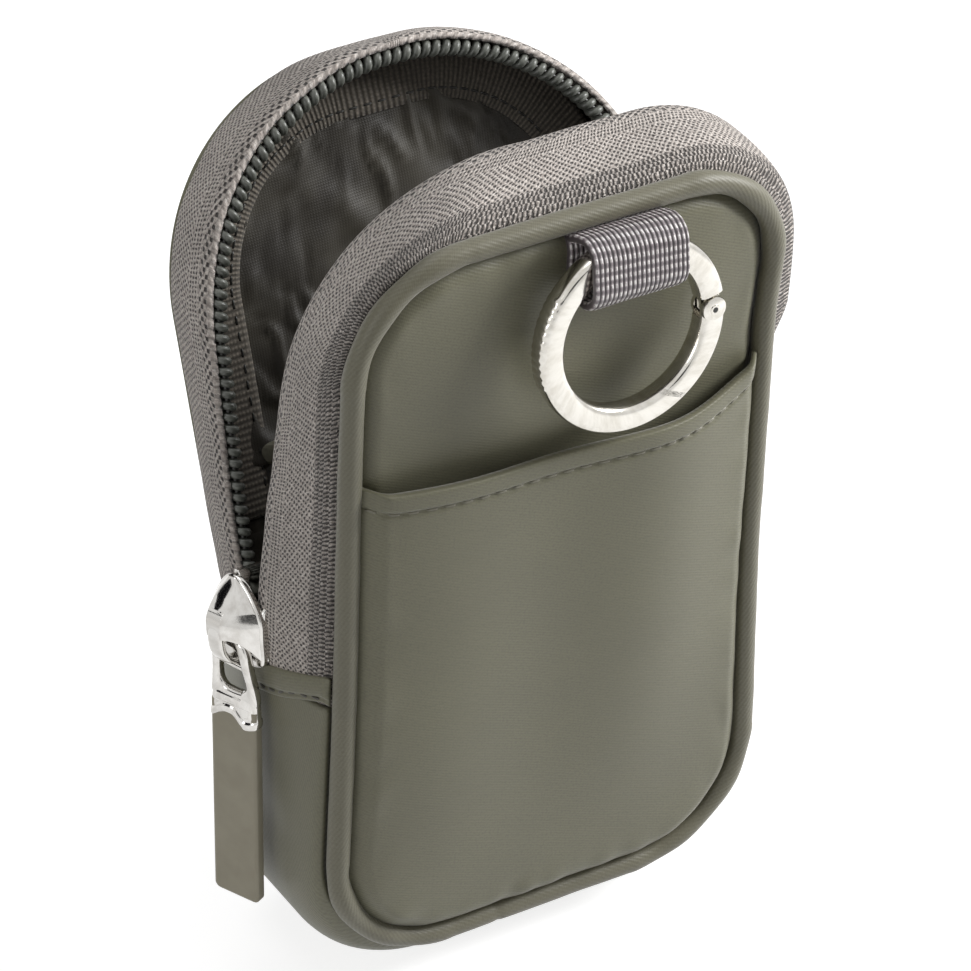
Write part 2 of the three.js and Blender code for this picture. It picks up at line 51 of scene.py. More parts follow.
pouch = {
    "halfWidth": 37.0, "top": 128.0, "low": 5.5, "zipEnd": 54.0,
    "frontTopRadius": 19.0, "frontRimRadius": 33.0, "frontRimRight": 17.0, "lowRadius": 21.0,
    "rearTopRadius": 31.0, "rearRimRadius": 36.0,
    "frontY": -15.6, "panelFace": -16.2, "seamFront": -13.65, "seamRear": 14.35,
    "rimMid": 1.4, "rimGap": 0.7, "rimSwell": 1.5, "sideSwell": 3.2, "hingeY": 15.0, "lean": 24.0,
}


def smoothStep(t):
    t = np.clip(t, 0.0, 1.0)
    return t * t * (3 - 2 * t)


def ramp(v, start, length):
    # a smooth rise from 0 to 1
    return smoothStep((v - start) / length)


def bell(v, middle, wide):
    return np.exp(-((v - middle) / wide) ** 2)


def mixed(a, b, t):
    return a + (b - a) * t


def unit(v):
    return v / np.linalg.norm(v, axis=-1, keepdims=True)


def squared(v, power):
    # a power that keeps the sign, which turns a circle into a rounded square
    return np.sign(v) * np.abs(v) ** power


def circle(count):
    return np.linspace(0, 2 * pi, count, endpoint=False)


def spread(*coordinates):
    # points from coordinates of shapes that fit each other
    return np.stack(np.broadcast_arrays(*coordinates), -1)


def ripple(a, b, seed, waves=6, longest=26.0):
    # a sum of slanted sines: soft, repeatable unevenness between about -1 and 1
    draw = np.random.default_rng(seed)
    total = 0.0
    for _ in range(waves):
        turn, phase = draw.uniform(0, 2 * pi, 2)
        step = 2 * pi / (longest * draw.uniform(0.35, 1.0))
        total = total + np.sin((a * math.cos(turn) + b * math.sin(turn)) * step + phase)
    return total / waves * 1.6


# Tracks: points in the x-z plane with their outward normals
def lineRun(start, end, normal, count):
    points = mixed(np.array(start, float), np.array(end, float), np.linspace(0, 1, count)[:, None])
    return points, np.repeat(np.array([normal], float), count, 0)


def arcRun(cx, cz, r, start, end, count):
    a = np.radians(np.linspace(start, end, count))
    normals = np.c_[np.cos(a), np.sin(a)]
    return np.array([cx, cz]) + r * normals, normals


def roundedRun(w, h, left, right, start, way, side, corner=40, across=36):
    # along one side, round two corners and back; way is 1 for an arch and -1 for a bowl
    a, b = h - way * left, h - way * right
    runs = [
        lineRun((-w, start), (-w, a), (-1, 0), side),
        arcRun(-w + left, a, left, 180, 180 - way * 90, corner),
        lineRun((-w + left, h), (w - right, h), (0, way), across),
        arcRun(w - right, b, right, way * 90, 0, corner),
        lineRun((w, b), (w, start), (1, 0), side),
    ]
    return [np.concatenate([runs[0][k]] + [run[k][1:] for run in runs[1:]]) for k in (0, 1)]


def archTrack(inset, radius, low, rightRadius=None):
    left, right = radius - inset, (rightRadius or radius) - inset
    return roundedRun(pouch["halfWidth"] - inset, pouch["top"] - inset, left, right, low, 1, 64)


def bowlTrack(inset, high):
    r = pouch["lowRadius"] - inset
    return roundedRun(pouch["halfWidth"] - inset, pouch["low"] + inset, r, r, high, -1, 40)


def outlineTrack(inset, radius):
    arch, bowl = archTrack(inset, radius, pouch["zipEnd"]), bowlTrack(inset, pouch["zipEnd"])
    return [np.concatenate([a, b[::-1][1:-1], a[:1]]) for a, b in zip(arch, bowl)]


def alongOf(points, closed=False):
    # running length at each point; a closed track gets one more, at its start again
    if closed:
        points = np.concatenate([points, points[:1]])
    return np.concatenate([[0], np.cumsum(np.linalg.norm(np.diff(points, axis=0), axis=1))])


def resampled(values, s, t):
    return np.stack([np.interp(t, s, column) for column in values.T], -1)


def softened(values, times):
    values = values.copy()
    for _ in range(times):
        values[1:-1] = (values[:-2] + 2 * values[1:-1] + values[2:]) / 4
    return values


def evenTrack(points, normals, step):
    s = alongOf(points)
    t = np.linspace(0, s[-1], int(round(s[-1] / step)) + 1)
    return resampled(points, s, t), unit(resampled(normals, s, t)), t


def lifted(points, normals, out, y):
    # track points moved out along their normals, at depth y
    return spread(points[..., 0] + normals[..., 0] * out, y, points[..., 1] + normals[..., 1] * out)


def sideways(d):
    return np.stack([d[..., 1], -d[..., 0]], -1)


def halfWidthAt(z, inset, topRadius):
    w = pouch["halfWidth"] - inset
    rTop, rLow = topRadius - inset, pouch["lowRadius"] - inset
    zTop, zLow = pouch["top"] - inset - rTop, pouch["low"] + inset + rLow

    def reach(r, past):
        return w - r + np.sqrt(np.clip(r ** 2 - np.clip(past, 0, None) ** 2, 0, None))
    return np.minimum(reach(rTop, z - zTop), reach(rLow, zLow - z))


def edgeDepth(x, z, inset, topRadius):
    # distance inwards from the sewn outline
    def corner(r, dz):
        q = np.maximum(np.abs(x) - (pouch["halfWidth"] - r), 0)
        return r - np.sqrt(q ** 2 + np.maximum(dz, 0) ** 2)
    upper = corner(topRadius, z - (pouch["top"] - topRadius))
    lower = corner(pouch["lowRadius"], (pouch["low"] + pouch["lowRadius"]) - z)
    side = pouch["halfWidth"] - np.abs(x)
    return np.minimum(np.minimum(upper, lower), side) - inset


def panelRows(inset, topRadius, low, high, middle, corner):
    # row heights, closer together where the outline turns
    rTop, rLow = topRadius - inset, pouch["lowRadius"] - inset
    a = np.linspace(0, pi / 2, corner)
    zLow = pouch["low"] + inset + rLow - rLow * np.cos(a)
    zTop = pouch["top"] - inset - rTop + rTop * np.sin(a)
    z = np.concatenate([zLow, np.linspace(zLow[-1], zTop[0], middle)[1:-1], zTop])
    z = z[(z > low + 0.2) & (z < high - 0.2)]
    return np.concatenate([[low], z, [high]])


def panelGrid(inset, topRadius, low, high, middle, corner, columns):
    z = panelRows(inset, topRadius, low, high, middle, corner)
    x = np.linspace(-1, 1, columns) * halfWidthAt(z, inset, topRadius)[:, None]
    return x, np.broadcast_to(z[:, None], x.shape)


def leanBack(points, start=None, end=None):
    # turns closed-zip points about the fold to where the rear half leans; start and end soften the fold
    hinge = np.array([pouch["hingeY"], pouch["zipEnd"]])
    y, z = np.moveaxis(points[..., 1:] - hinge, -1, 0)
    full = math.radians(pouch["lean"])
    angle = np.full(y.shape, full)

    def turned(a):
        return spread(y * np.cos(a) + z * np.sin(a), z * np.cos(a) - y * np.sin(a)) + hinge
    if start is not None:
        run = end - start
        for _ in range(40):
            t = ((turned(angle) - start) @ run) / (run @ run)
            angle = 0.5 * angle + 0.5 * full * smoothStep(t)
    return np.concatenate([points[..., :1], turned(angle)], -1)


def foldSpan(before, after, y):
    # where a piece starts to turn and where it has turned, along the leaning rear half
    a = math.radians(pouch["lean"])
    d = np.array([math.sin(a), math.cos(a)])
    hinge = np.array([y, pouch["zipEnd"]])
    return hinge - d * before, hinge + d * after


# a setting of two numbers that ramp takes is a start and a length
swayCut = {
    "x": 0.30, "y": 0.28, "z": 0.26, "calm": (4, 20), "drawIn": 2.5, "topEase": 0.55,
    "rise": (12, 55), "ease": (98, 24), "near": (84, 16), "right": (6, 31),
    "deepLow": 4.0, "deepHigh": 11.8, "reachLow": 9.5, "reachHigh": 2.0,
}


def sway(points):
    # gentle unevenness of sewn cloth, the same for neighbouring pieces
    x, y, z = np.moveaxis(points, -1, 0)
    calm = ramp(z, *swayCut["calm"])
    # the front's right edge is drawn in where the pocket mouth pulls on it
    high = ramp(z, *swayCut["rise"]) * (1 - swayCut["topEase"] * ramp(z, *swayCut["ease"]))
    near = ramp(z, *swayCut["near"])
    deep = mixed(swayCut["deepLow"], swayCut["deepHigh"], near)
    reach = mixed(swayCut["reachLow"], swayCut["reachHigh"], near)
    drawn = high * ramp(x, *swayCut["right"]) * ramp(-y, deep, reach)
    return spread(
        x + swayCut["x"] * calm * np.sin(z / 15.0 + 0.9) * np.sin(y / 13.0 + 0.4) - swayCut["drawIn"] * drawn,
        y + swayCut["y"] * calm * np.sin(x / 14.0 + 0.5) * np.sin(z / 23.0 + 1.1),
        z + swayCut["z"] * calm * np.sin(x / 12.0 + 2.0) * np.cos(y / 12.0),
    )


# Meshes
def placed(name, data):
    made = bpy.data.objects.new(name, data)
    bpy.context.scene.collection.objects.link(made)
    return made


def smoothed(mesh, sharp):
    mesh.polygons.foreach_set("use_smooth", np.ones(len(mesh.polygons), bool))
    if sharp is not None:
        mesh.set_sharp_from_angle(angle=math.radians(sharp))


def finishPiece(piece, nodes=(), body=None):
    if nodes:
        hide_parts(*nodes)
    if body:
        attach(piece, body)
    return piece


def uvGrid(u, v):
    # u runs along the columns and v along the rows
    return spread(np.asarray(u)[None, :], np.asarray(v)[:, None]).astype(float)


class PieceMesh:
    def __init__(self):
        self.points, self.faces, self.uvs, self.kinds, self.count = [], [], [], [], 0

    def hold(self, points, faces, uvs, kind):
        self.points.append(points)
        self.faces.append(faces + self.count)
        self.uvs.append(uvs)
        self.kinds.append(np.full(len(faces), kind))
        self.count += len(points)

    def grid(self, points, uv, wrapRows=False, wrapCols=False, kind=0):
        rows, cols = points.shape[:2]
        i, j = np.indices((rows - (not wrapRows), cols - (not wrapCols))).reshape(2, -1)
        i1, j1 = (i + 1) % rows, (j + 1) % cols
        faces = np.c_[i * cols + j, i * cols + j1, i1 * cols + j1, i1 * cols + j]
        uvs = np.stack([uv[i, j], uv[i, j + 1], uv[i + 1, j + 1], uv[i + 1, j]], 1)
        self.hold(points.reshape(-1, 3), faces, uvs, kind)

    def cap(self, ring, kind):
        # closes a round end with a fan
        n, middle = len(ring), ring.mean(0)
        k, last = np.arange(n), np.full(n, n)
        axes = [0, 2] if np.ptp(ring[:, 1]) < np.ptp(ring[:, 0]) else [1, 2]
        flat = (ring - middle)[:, axes]
        uvs = np.stack([flat, np.roll(flat, -1, 0), flat * 0, flat * 0], 1)
        self.hold(np.concatenate([ring, middle[None]]), np.c_[k, (k + 1) % n, last, last], uvs, kind)

    def sheet(self, outer, inner, uv, kind=0, innerKind=0):
        # cloth with a thickness: two faces and the cut edge between them
        self.grid(outer, uv, kind=kind)
        self.grid(inner, uv, kind=innerKind)

        def edge(g):
            return np.concatenate([g[0, :-1], g[:-1, -1], g[-1, :0:-1], g[:0:-1, 0]])
        around = edge(uv)
        around = np.concatenate([around, around[:1]])
        ring = np.stack([edge(outer), edge(inner)])
        self.grid(ring, np.stack([around, around + 0.3]), wrapCols=True, kind=kind)

    def tube(self, sections, uv, closed=False, kind=0):
        self.grid(sections, uv, wrapRows=closed, wrapCols=True, kind=kind)
        if not closed:
            self.cap(sections[0], kind)
            self.cap(sections[-1], kind)

    def move(self, way):
        self.points = [way(p) for p in self.points]

    def take(self, other):
        # adds all of another mesh
        self.faces += [f + self.count for f in other.faces]
        self.points += other.points
        self.uvs += other.uvs
        self.kinds += other.kinds
        self.count += other.count

    def build(self, name, lookNames, sharp=None):
        faces, uvs = np.concatenate(self.faces), np.concatenate(self.uvs)
        fans = faces[:, 2] == faces[:, 3]
        keep = np.ones((len(faces), 4), bool)
        keep[fans, 3] = False
        faceList = [f[:3] if fan else f for f, fan in zip(faces.tolist(), fans)]
        mesh = bpy.data.meshes.new(name)
        mesh.from_pydata((np.concatenate(self.points) * mm).tolist(), [], faceList)
        layer = mesh.uv_layers.new(name="UVMap")
        layer.data.foreach_set("uv", uvs[keep].astype(np.float32).ravel())
        for key in lookNames:
            mesh.materials.append(looks[key])
        mesh.polygons.foreach_set("material_index", np.concatenate(self.kinds).astype(np.int32))
        work = bmesh.new()
        work.from_mesh(mesh)
        bmesh.ops.remove_doubles(work, verts=work.verts, dist=2e-6)
        bmesh.ops.dissolve_degenerate(work, dist=1e-6, edges=work.edges)
        bmesh.ops.recalc_face_normals(work, faces=work.faces)
        work.to_mesh(mesh)
        work.free()
        smoothed(mesh, sharp)
        return placed(name, mesh)

    def finished(self, name, lookNames, nodes=(), body=None, sharp=None):
        return finishPiece(self.build(name, lookNames, sharp), nodes, body)


def foldBlend(piece):
    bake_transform(piece)


def sewnSheet(name, look, nodes, outer, inner, uv, body="pouch", span=None):
    # with a span the sheet runs over the fold and bends there
    mesh = PieceMesh()
    if span:
        outer, inner, body = leanBack(outer, *span), leanBack(inner, *span), None
    mesh.sheet(outer, inner, uv)
    piece = mesh.finished(name, [look], nodes, body)
    if span:
        foldBlend(piece)
    return piece


def wireTube(mesh, path, a, b, radius, sides, around, kind=0):
    # a round tube whose sections lie along a and b
    angle = circle(sides)[None, :, None]
    ring = np.cos(angle) * a[:, None] + np.sin(angle) * b[:, None]
    radius = np.broadcast_to(radius, len(path))[:, None, None]
    uv = uvGrid(np.linspace(0, around, sides + 1), alongOf(path))
    mesh.tube(path[:, None] + radius * ring, uv, kind=kind)


def roundTube(mesh, path, radius, hint, sides, kind=0):
    t = unit(np.gradient(path, axis=0))
    a = unit(np.cross(t, np.broadcast_to(hint, path.shape)))
    around = 2 * pi * float(np.mean(radius))
    wireTube(mesh, path, a, np.cross(a, t), radius, sides, around, kind)


def stitchRow(mesh, middles, alongs, out, length, thick, sink, kind=0):
    # one rounded thread bar per stitch, its ends bent into the cloth
    t = np.linspace(-1, 1, 7)
    bow = np.sqrt(np.clip(1 - t ** 4, 0, 1))
    radius = thick * (0.35 + 0.65 * np.sqrt(np.clip(1 - t ** 6, 0, 1)))
    for c, d in zip(middles, alongs):
        path = c + d * (t * length / 2)[:, None] + out * ((bow - 1) * thick * 1.4 - thick * sink)[:, None]
        roundTube(mesh, path, radius, out, 7, kind)


# Looks
def tone(code):
    # a colour as it is seen on screen, such as 6f6d60, in Blender's linear values
    c = np.array([int(code[k:k + 2], 16) for k in (0, 2, 4)]) / 255
    c = np.where(c <= 0.04045, c / 12.92, ((c + 0.055) / 1.055) ** 2.4)
    return (*[float(x) for x in c], 1.0)


def addNode(tree, kind, values=(), **fixed):
    # values pairs sockets with numbers or with the outputs of other nodes
    node = tree.nodes.new("ShaderNode" + kind)
    for key, value in fixed.items():
        setattr(node, key, value)
    feed(tree, node, values)
    return node


def feed(tree, node, values):
    for key, value in values:
        if isinstance(value, bpy.types.NodeSocket):
            tree.links.new(value, node.inputs[key])
        else:
            node.inputs[key].default_value = value


class Look:
    def __init__(self, name, **fixed):
        self.look = bpy.data.materials.new(name)
        self.look.use_nodes = True
        self.tree = self.look.node_tree
        self.shader = self.tree.nodes["Principled BSDF"]
        feed(self.tree, self.shader, [(key.replace("_", " "), value) for key, value in fixed.items()])
        self.place = addNode(self.tree, "UVMap").outputs[0]
        split = addNode(self.tree, "SeparateXYZ", [(0, self.place)])
        self.u, self.v = split.outputs[0], split.outputs[1]

    def calc(self, operation, *values):
        return addNode(self.tree, "Math", enumerate(values), operation=operation).outputs[0]

    def plus(self, base, *parts):
        # a base and values times their shares
        for value, share in parts:
            base = self.calc("MULTIPLY_ADD", value, share, base)
        return base

    def times(self, *values):
        total = values[0]
        for value in values[1:]:
            total = self.calc("MULTIPLY", total, value)
        return total

    def inverse(self, value):
        return self.calc("SUBTRACT", 1.0, value)

    def wave(self, length, pitch, phase=0.0):
        # 0 to 1 and back once every pitch
        return self.plus(0.5, (self.calc("SINE", self.plus(phase, (length, 2 * pi / pitch))), 0.5))

    def slant(self, across, along):
        # distance measured along a slanted direction of the cloth
        return self.plus(0.0, (self.u, across), (self.v, along))

    def step(self, value, start, end):
        values = [(0, value), (1, start), (2, end)]
        return addNode(self.tree, "MapRange", values, interpolation_type="SMOOTHSTEP").outputs[0]

    def noise(self, scale, detail=2.0, rough=0.5, stretch=None):
        place = self.place
        if stretch:
            place = addNode(self.tree, "Mapping", [(0, place), ("Scale", (*stretch, 1))]).outputs[0]
        values = [("Vector", place), ("Scale", scale), ("Detail", detail), ("Roughness", rough)]
        return addNode(self.tree, "TexNoise", values).outputs[0]

    def blend(self, factor, a, b):
        return addNode(self.tree, "Mix", [(0, factor), (6, a), (7, b)], data_type="RGBA").outputs[2]

    def tint(self, shade, code, *factors):
        # blends a colour in by the product of the factors
        return self.blend(self.times(*factors), shade, tone(code))

    def done(self, shade, rough, height, depth):
        # depth is in millimetres
        bump = addNode(self.tree, "Bump", [("Distance", depth * mm), ("Strength", 1.0), ("Height", height)])
        values = [("Base Color", shade), ("Roughness", rough), ("Normal", bump.outputs[0])]
        feed(self.tree, self.shader, values)
        return self.look


def twillLook(name, mid, light, dark, pitch=0.44, across=0.38, along=0.92, lines=0.22):
    look = Look(name, Sheen_Weight=0.25, Sheen_Roughness=0.4, Specular_IOR_Level=0.5)
    line = look.wave(look.slant(across, along), pitch)
    yarn = look.wave(look.slant(along, -across), pitch * 0.55)
    weave = look.plus(0.0, (line, 0.75), (yarn, 0.25))
    cloud = look.noise(0.045, 3.0, 0.55)
    streak = look.noise(0.9, 2.0, 0.6, (0.35, 1.6))
    shade = look.tint(tone(dark), light, look.step(cloud, 0.3, 0.72))
    shade = look.tint(shade, mid, 0.78)
    shade = look.tint(shade, light, look.step(streak, 0.45, 0.8), 0.16)
    shade = look.tint(shade, dark, look.inverse(weave), lines)
    shade = look.tint(shade, dark, look.step(look.noise(2.6, 2.0, 0.6), 0.42, 0.7), 0.5)
    height = look.plus(0.0, (weave, 0.8), (look.noise(6.0, 2.0, 0.6), 0.35))
    return look.done(shade, look.plus(0.52, (weave, -0.12), (cloud, 0.06)), height, 0.03)


def tapeLook(name, mid, light, dark, pale):
    # bands from the rim inwards: needle holes, slanted ribs, basket weave and a ladder of bars
    look = Look(name, Sheen_Weight=0.15, Sheen_Roughness=0.5, Specular_IOR_Level=0.35)
    drift, fine = look.noise(0.6), look.noise(1.9, 2.0, 0.6)
    u = look.plus(-0.5, (look.u, 1.0), (drift, 0.5), (fine, 0.5))
    drift, fine = look.noise(0.5, 2.0, 0.5, (1.3, 0.8)), look.noise(1.7, 2.0, 0.6, (0.8, 1.3))
    v = look.plus(-0.45, (look.v, 1.0), (drift, 0.4), (fine, 0.5))

    def slanted(a, b, pitch):
        return look.wave(look.plus(0.0, (u, a), (v, b)), pitch)

    def holes(at, phase):
        near = look.calc("ABSOLUTE", look.calc("SUBTRACT", look.v, at))
        pricks = look.step(look.wave(look.u, 1.6, phase), 0.6, 0.9)
        return look.times(look.inverse(look.step(near, 0.12, 0.32)), pricks)

    def dots(a, shareA, b, shareB):
        # low only where both waves are low; these low places are painted dark as shade
        return look.inverse(look.times(look.plus(1.0, (a, -shareA)), look.plus(1.0, (b, -shareB))))
    rim = look.plus(0.5, (slanted(0.5, 0.86, 0.7), 0.35))
    for at, phase in ((0.5, 0.0), (1.05, pi), (1.6, 0.0)):
        rim = look.plus(rim, (holes(at, phase), -0.9))
    ribs = dots(slanted(0.95, 0.3, 0.6), 0.8, look.wave(v, 0.72), 0.7)
    basket = dots(slanted(0.64, -0.77, 0.72), 0.8, slanted(0.77, 0.64, 0.66), 0.75)
    other = look.step(look.wave(v, 1.7), 0.45, 0.55)
    rungs = look.wave(look.plus(u, (other, 0.33)), 0.68)
    ladder = look.times(rungs, look.plus(0.6, (look.wave(v, 0.85), 1.0)))
    height = look.blend(look.step(v, 1.9, 2.2), rim, ribs)
    height = look.blend(look.step(v, 4.4, 4.9), height, basket)
    height = look.blend(look.step(v, 10.6, 11.4), height, ladder)
    yarn = look.noise(1.5, 3.0, 0.7, (1.9, 0.8))
    fleck = look.noise(2.4, 3.0, 0.75, (0.9, 1.8))
    shade = look.tint(tone(mid), light, look.step(yarn, 0.38, 0.66))
    shade = look.tint(shade, pale, look.step(fleck, 0.5, 0.66), 0.75)
    shade = look.tint(shade, dark, look.step(look.noise(0.06), 0.4, 0.7), 0.15)
    # painted shade: the dark colour fills the weave's gaps and needle holes, where its height is low
    shade = look.tint(shade, dark, look.inverse(look.step(height, 0.16, 0.8)), 0.92)
    fuzz = look.times(look.noise(5.0, 2.0, 0.7), 0.3)
    return look.done(shade, look.plus(0.62, (yarn, 0.2)), look.plus(fuzz, (height, 1.0)), 0.3)


def ribbedLook(name, mid, light, dark):
    # inside of the tape: close cross ribs, in darker tones than the outer tape as painted shade for the
    # inside of the pouch
    look = Look(name, Sheen_Weight=0.15, Sheen_Roughness=0.5, Specular_IOR_Level=0.3)
    rib = look.times(look.wave(look.u, 0.95), look.plus(0.7, (look.wave(look.v, 0.6), 0.3)))
    yarn = look.noise(1.6, 3.0, 0.7)
    shade = look.tint(tone(mid), light, look.step(yarn, 0.4, 0.7))
    # painted shade: the dark colour lies in the grooves between the ribs
    shade = look.tint(shade, dark, look.inverse(rib), 0.7)
    return look.done(shade, look.plus(0.72, (yarn, 0.15)), rib, 0.14)


def liningLook(name, mid, light, dark, mesh=0.0):
    look = Look(name, Sheen_Weight=0.2, Sheen_Roughness=0.35, Specular_IOR_Level=0.4)
    height = look.times(look.wave(look.u, 0.42), look.wave(look.v, 0.42))
    cloud = look.noise(0.07, 3.0, 0.6)
    shade = look.tint(tone(dark), mid, look.step(cloud, 0.3, 0.7))
    shade = look.tint(shade, light, look.step(look.noise(2.4), 0.55, 0.8), 0.14)
    if mesh:
        hole = look.times(*[look.step(look.wave(look.slant(0.7, k), mesh), 0.55, 0.8) for k in (0.7, -0.7)])
        # painted shade: the mesh's holes are painted near black for the shade seen through them
        shade = look.tint(shade, "0c0b09", hole, 0.8)
        height = look.calc("SUBTRACT", look.times(height, 0.4), hole)
    return look.done(shade, look.plus(0.5, (cloud, 0.15)), height, 0.025)


def nylonLook(name, mid, light):
    look = Look(name, Specular_IOR_Level=0.5)
    grain = look.noise(0.8, 3.0, 0.6)
    shade = look.tint(tone(mid), light, look.step(grain, 0.35, 0.75))
    return look.done(shade, look.plus(0.3, (grain, 0.18)), look.noise(4.0), 0.02)


def metalLook(name, bright, soft, worn, rough):
    look = Look(name, Metallic=1.0)
    haze = look.noise(0.5, 4.0, 0.6)
    scuff = look.step(look.noise(2.2, 5.0, 0.75, (0.35, 2.4)), 0.62, 0.78)
    shade = look.tint(tone(bright), soft, look.step(haze, 0.35, 0.7))
    shade = look.tint(shade, worn, scuff, 0.18)
    height = look.plus(look.noise(0.35, 3.0), (scuff, -0.1))
    return look.done(shade, look.plus(rough, (haze, 0.08), (scuff, 0.16)), height, 0.014)


def rubberLook(name, mid, light, dark):
    look = Look(name, Specular_IOR_Level=0.4, Sheen_Weight=0.08)
    cloud = look.noise(0.12, 3.0, 0.6)
    grain = look.noise(7.0, 2.0, 0.6)
    shade = look.tint(tone(dark), light, look.step(cloud, 0.3, 0.7))
    shade = look.tint(shade, mid, 0.55)
    shade = look.tint(shade, light, look.step(look.noise(1.6, 4.0, 0.7), 0.62, 0.8), 0.25)
    return look.done(shade, look.plus(0.5, (grain, 0.15)), look.plus(grain, (cloud, 0.4)), 0.02)


def webbingLook(name, mid, light, dark, glint, turn=1.3, shift=0.0724):
    # u counts ribs; each rib is a row of shiny floats, a little behind its neighbour
    look = Look(name, Sheen_Weight=0.25, Sheen_Roughness=0.3, Specular_IOR_Level=0.6)
    rib = look.wave(look.u, 1.0, -pi / 2)
    floats = look.wave(look.plus(look.v, (look.calc("FLOOR", look.u), shift)), turn)
    yarn = look.noise(2.0, 3.0, 0.7, (2.2, 0.7))
    shine = look.times(look.step(rib, 0.3, 0.75), look.step(floats, 0.35, 0.8), look.step(yarn, 0.3, 0.55))
    shade = look.tint(tone(mid), light, look.step(yarn, 0.35, 0.7))
    shade = look.tint(shade, glint, shine, 0.95)
    lit = look.step(look.times(rib, look.plus(0.35, (floats, 1.0))), 0.05, 0.45)
    shade = look.tint(shade, dark, look.inverse(lit), 0.85)
    height = look.times(rib, look.plus(0.4, (floats, 1.0)))
    return look.done(shade, look.plus(0.3, (yarn, 0.2)), height, 0.14)


looks = {
    "twill": twillLook("oliveTwill", "72705a", "7c7a64", "5b594a"),
    "piping": twillLook("biasTwill", "716e5c", "7d7a68", "5c594a", 0.55, 0.88, 0.48, lines=0.3),
    "tape": tapeLook("heatheredTape", "aea49d", "dcd3cb", "17120f", "fcf6f0"),
    # the tape's inside is given darker tones than its outer face: painted shade
    "tapeInside": ribbedLook("ribbedTapeInside", "6a645a", "887f74", "25211c"),
    "lining": liningLook("darkLining", "3b372e", "554f44", "28241e"),
    "meshPocket": liningLook("meshPocketCloth", "3a372f", "514c43", "26231e", mesh=0.9),
    "coil": nylonLook("zipCoilNylon", "4d4f49", "74766f"),
    "cordAndShade": nylonLook("zipCordAndShade", "1c1b17", "2a2924"),
    "slider": metalLook("brightSlider", "d2d0cc", "bebbb6", "8f8b85", 0.07),
    "ring": metalLook("paleRing", "d6d3cc", "c5c1b8", "97928a", 0.13),
    "rubber": rubberLook("mouldedPull", "a39d8b", "aea896", "968f7d"),
    "webbing": webbingLook("shinyWebbing", "83797c", "aaa0a3", "2b2427", "f4f0ee"),
    "thread": nylonLook("oliveThread", "6f6c5d", "8b8877"),
    "darkThread": nylonLook("darkThread", "35332a", "55524a"),
}
print("looks made:", len(looks))


# Camera at the photograph's angle
camera = {
    "place": (-372.167, -558.141, 543.687), "lens": 211.33,
    "aimRight": -16.288 / 5700, "aimUp": 29.536 / 5700,
    "right": (0.84824665, -0.52771331, 0.04467972), "up": (0.27556446, 0.51183476, 0.81368876),
    "ahead": (0.45226302, 0.67789663, -0.57958116),
}


def makeCamera():
    data = bpy.data.cameras.new("photoCamera")
    data.lens, data.sensor_width = camera["lens"], 36.0
    data.clip_start, data.clip_end = 0.05, 20
    right, up, ahead = (Vector(camera[k]) for k in ("right", "up", "ahead"))
    ahead = (ahead + right * camera["aimRight"] + up * camera["aimUp"]).normalized()
    right = (right - ahead * right.dot(ahead)).normalized()
    up = right.cross(ahead)
    shot = placed("photoCamera", data)
    turn = Matrix((right, up, -ahead)).transposed().to_4x4()
    shot.matrix_world = Matrix.Translation(Vector(camera["place"]) * mm) @ turn
    bpy.context.scene.camera = shot


makeCamera()
print("camera set")

# Front panel: padded, its edge drawn down under the piping
panelCut = {
    "inset": 2.0, "columns": 116, "crown": 1.0, "lump": 0.16, "dip": 2.5, "dipWide": 4.4, "pucker": 0.2,
    "back": -13.02,
}


def drawnEdge(x, z, cut, seed):
    # how far the sewn edge is pulled in, with small puckers beside the seam
    d = edgeDepth(x, z, cut["inset"], pouch["frontTopRadius"])
    around = np.arctan2(z - 65, x * 1.6) * 46
    fold = ripple(around, d * 0.3, seed, 7, 15.0) * bell(d, 3.2, 2.6)
    return cut["dip"] * (1 - smoothStep(d / cut["dipWide"])) ** 1.3 + cut["pucker"] * fold


def panelFace(x, z):
    body = np.clip(edgeDepth(x, z, panelCut["inset"], pouch["frontTopRadius"]) / 24, 0, 1)
    lump = panelCut["lump"] * ripple(x, z, 11, 7, 46.0)
    y = pouch["panelFace"] - panelCut["crown"] * np.sin(body * pi / 2) - lump * smoothStep(body * 2)
    return y + drawnEdge(x, z, panelCut, 5)


def makeFrontPanel():
    inset = panelCut["inset"]
    low, high = pouch["low"] + inset, pouch["top"] - inset
    x, z = panelGrid(inset, pouch["frontTopRadius"], low, high, 110, 30, panelCut["columns"])
    front, back = sway(spread(x, panelFace(x, z), z)), sway(spread(x, panelCut["back"], z))
    nodes = ["front_panel", "front_padding"]
    piece = sewnSheet("frontPanel", "twill", nodes, front, back, spread(x, z))


makeFrontPanel()

# Front slip pocket: a sheet that bows away from the panel towards its hemmed mouth
pocketCut = {
    "inset": 2.0, "columns": 180, "dip": 2.9, "dipWide": 4.6, "pucker": 0.26, "thick": 0.8, "mouth": 91.7,
    "rightLift": 4.5, "leftLift": 0.7, "left": (29, 6), "sag": 0.5, "sagHalf": 34, "gape": 0.45,
    "rest": -17.3, "slack": 1.9, "bow": 2.7, "wave": 0.65,
    "waveLong": 39.0, "lump": 0.2, "hem": 3.3, "hemPuff": 0.42, "stitch": 1.9, "pitch": 2.75,
    "firstStitch": -32.6, "lastStitch": 33.0, "thread": 0.22,
}


def pocketMouth(x):
    # drawn up at its right end and a little at its left
    right = pocketCut["rightLift"] * np.clip((x - 14) / 21, 0, 0.9) ** 2
    left = pocketCut["leftLift"] * ramp(-x, *pocketCut["left"])
    sag = pocketCut["sag"] * np.cos(x / pocketCut["sagHalf"] * pi / 2)
    return pocketCut["mouth"] + right + left - sag + 0.15 * np.sin(x / 7.0)


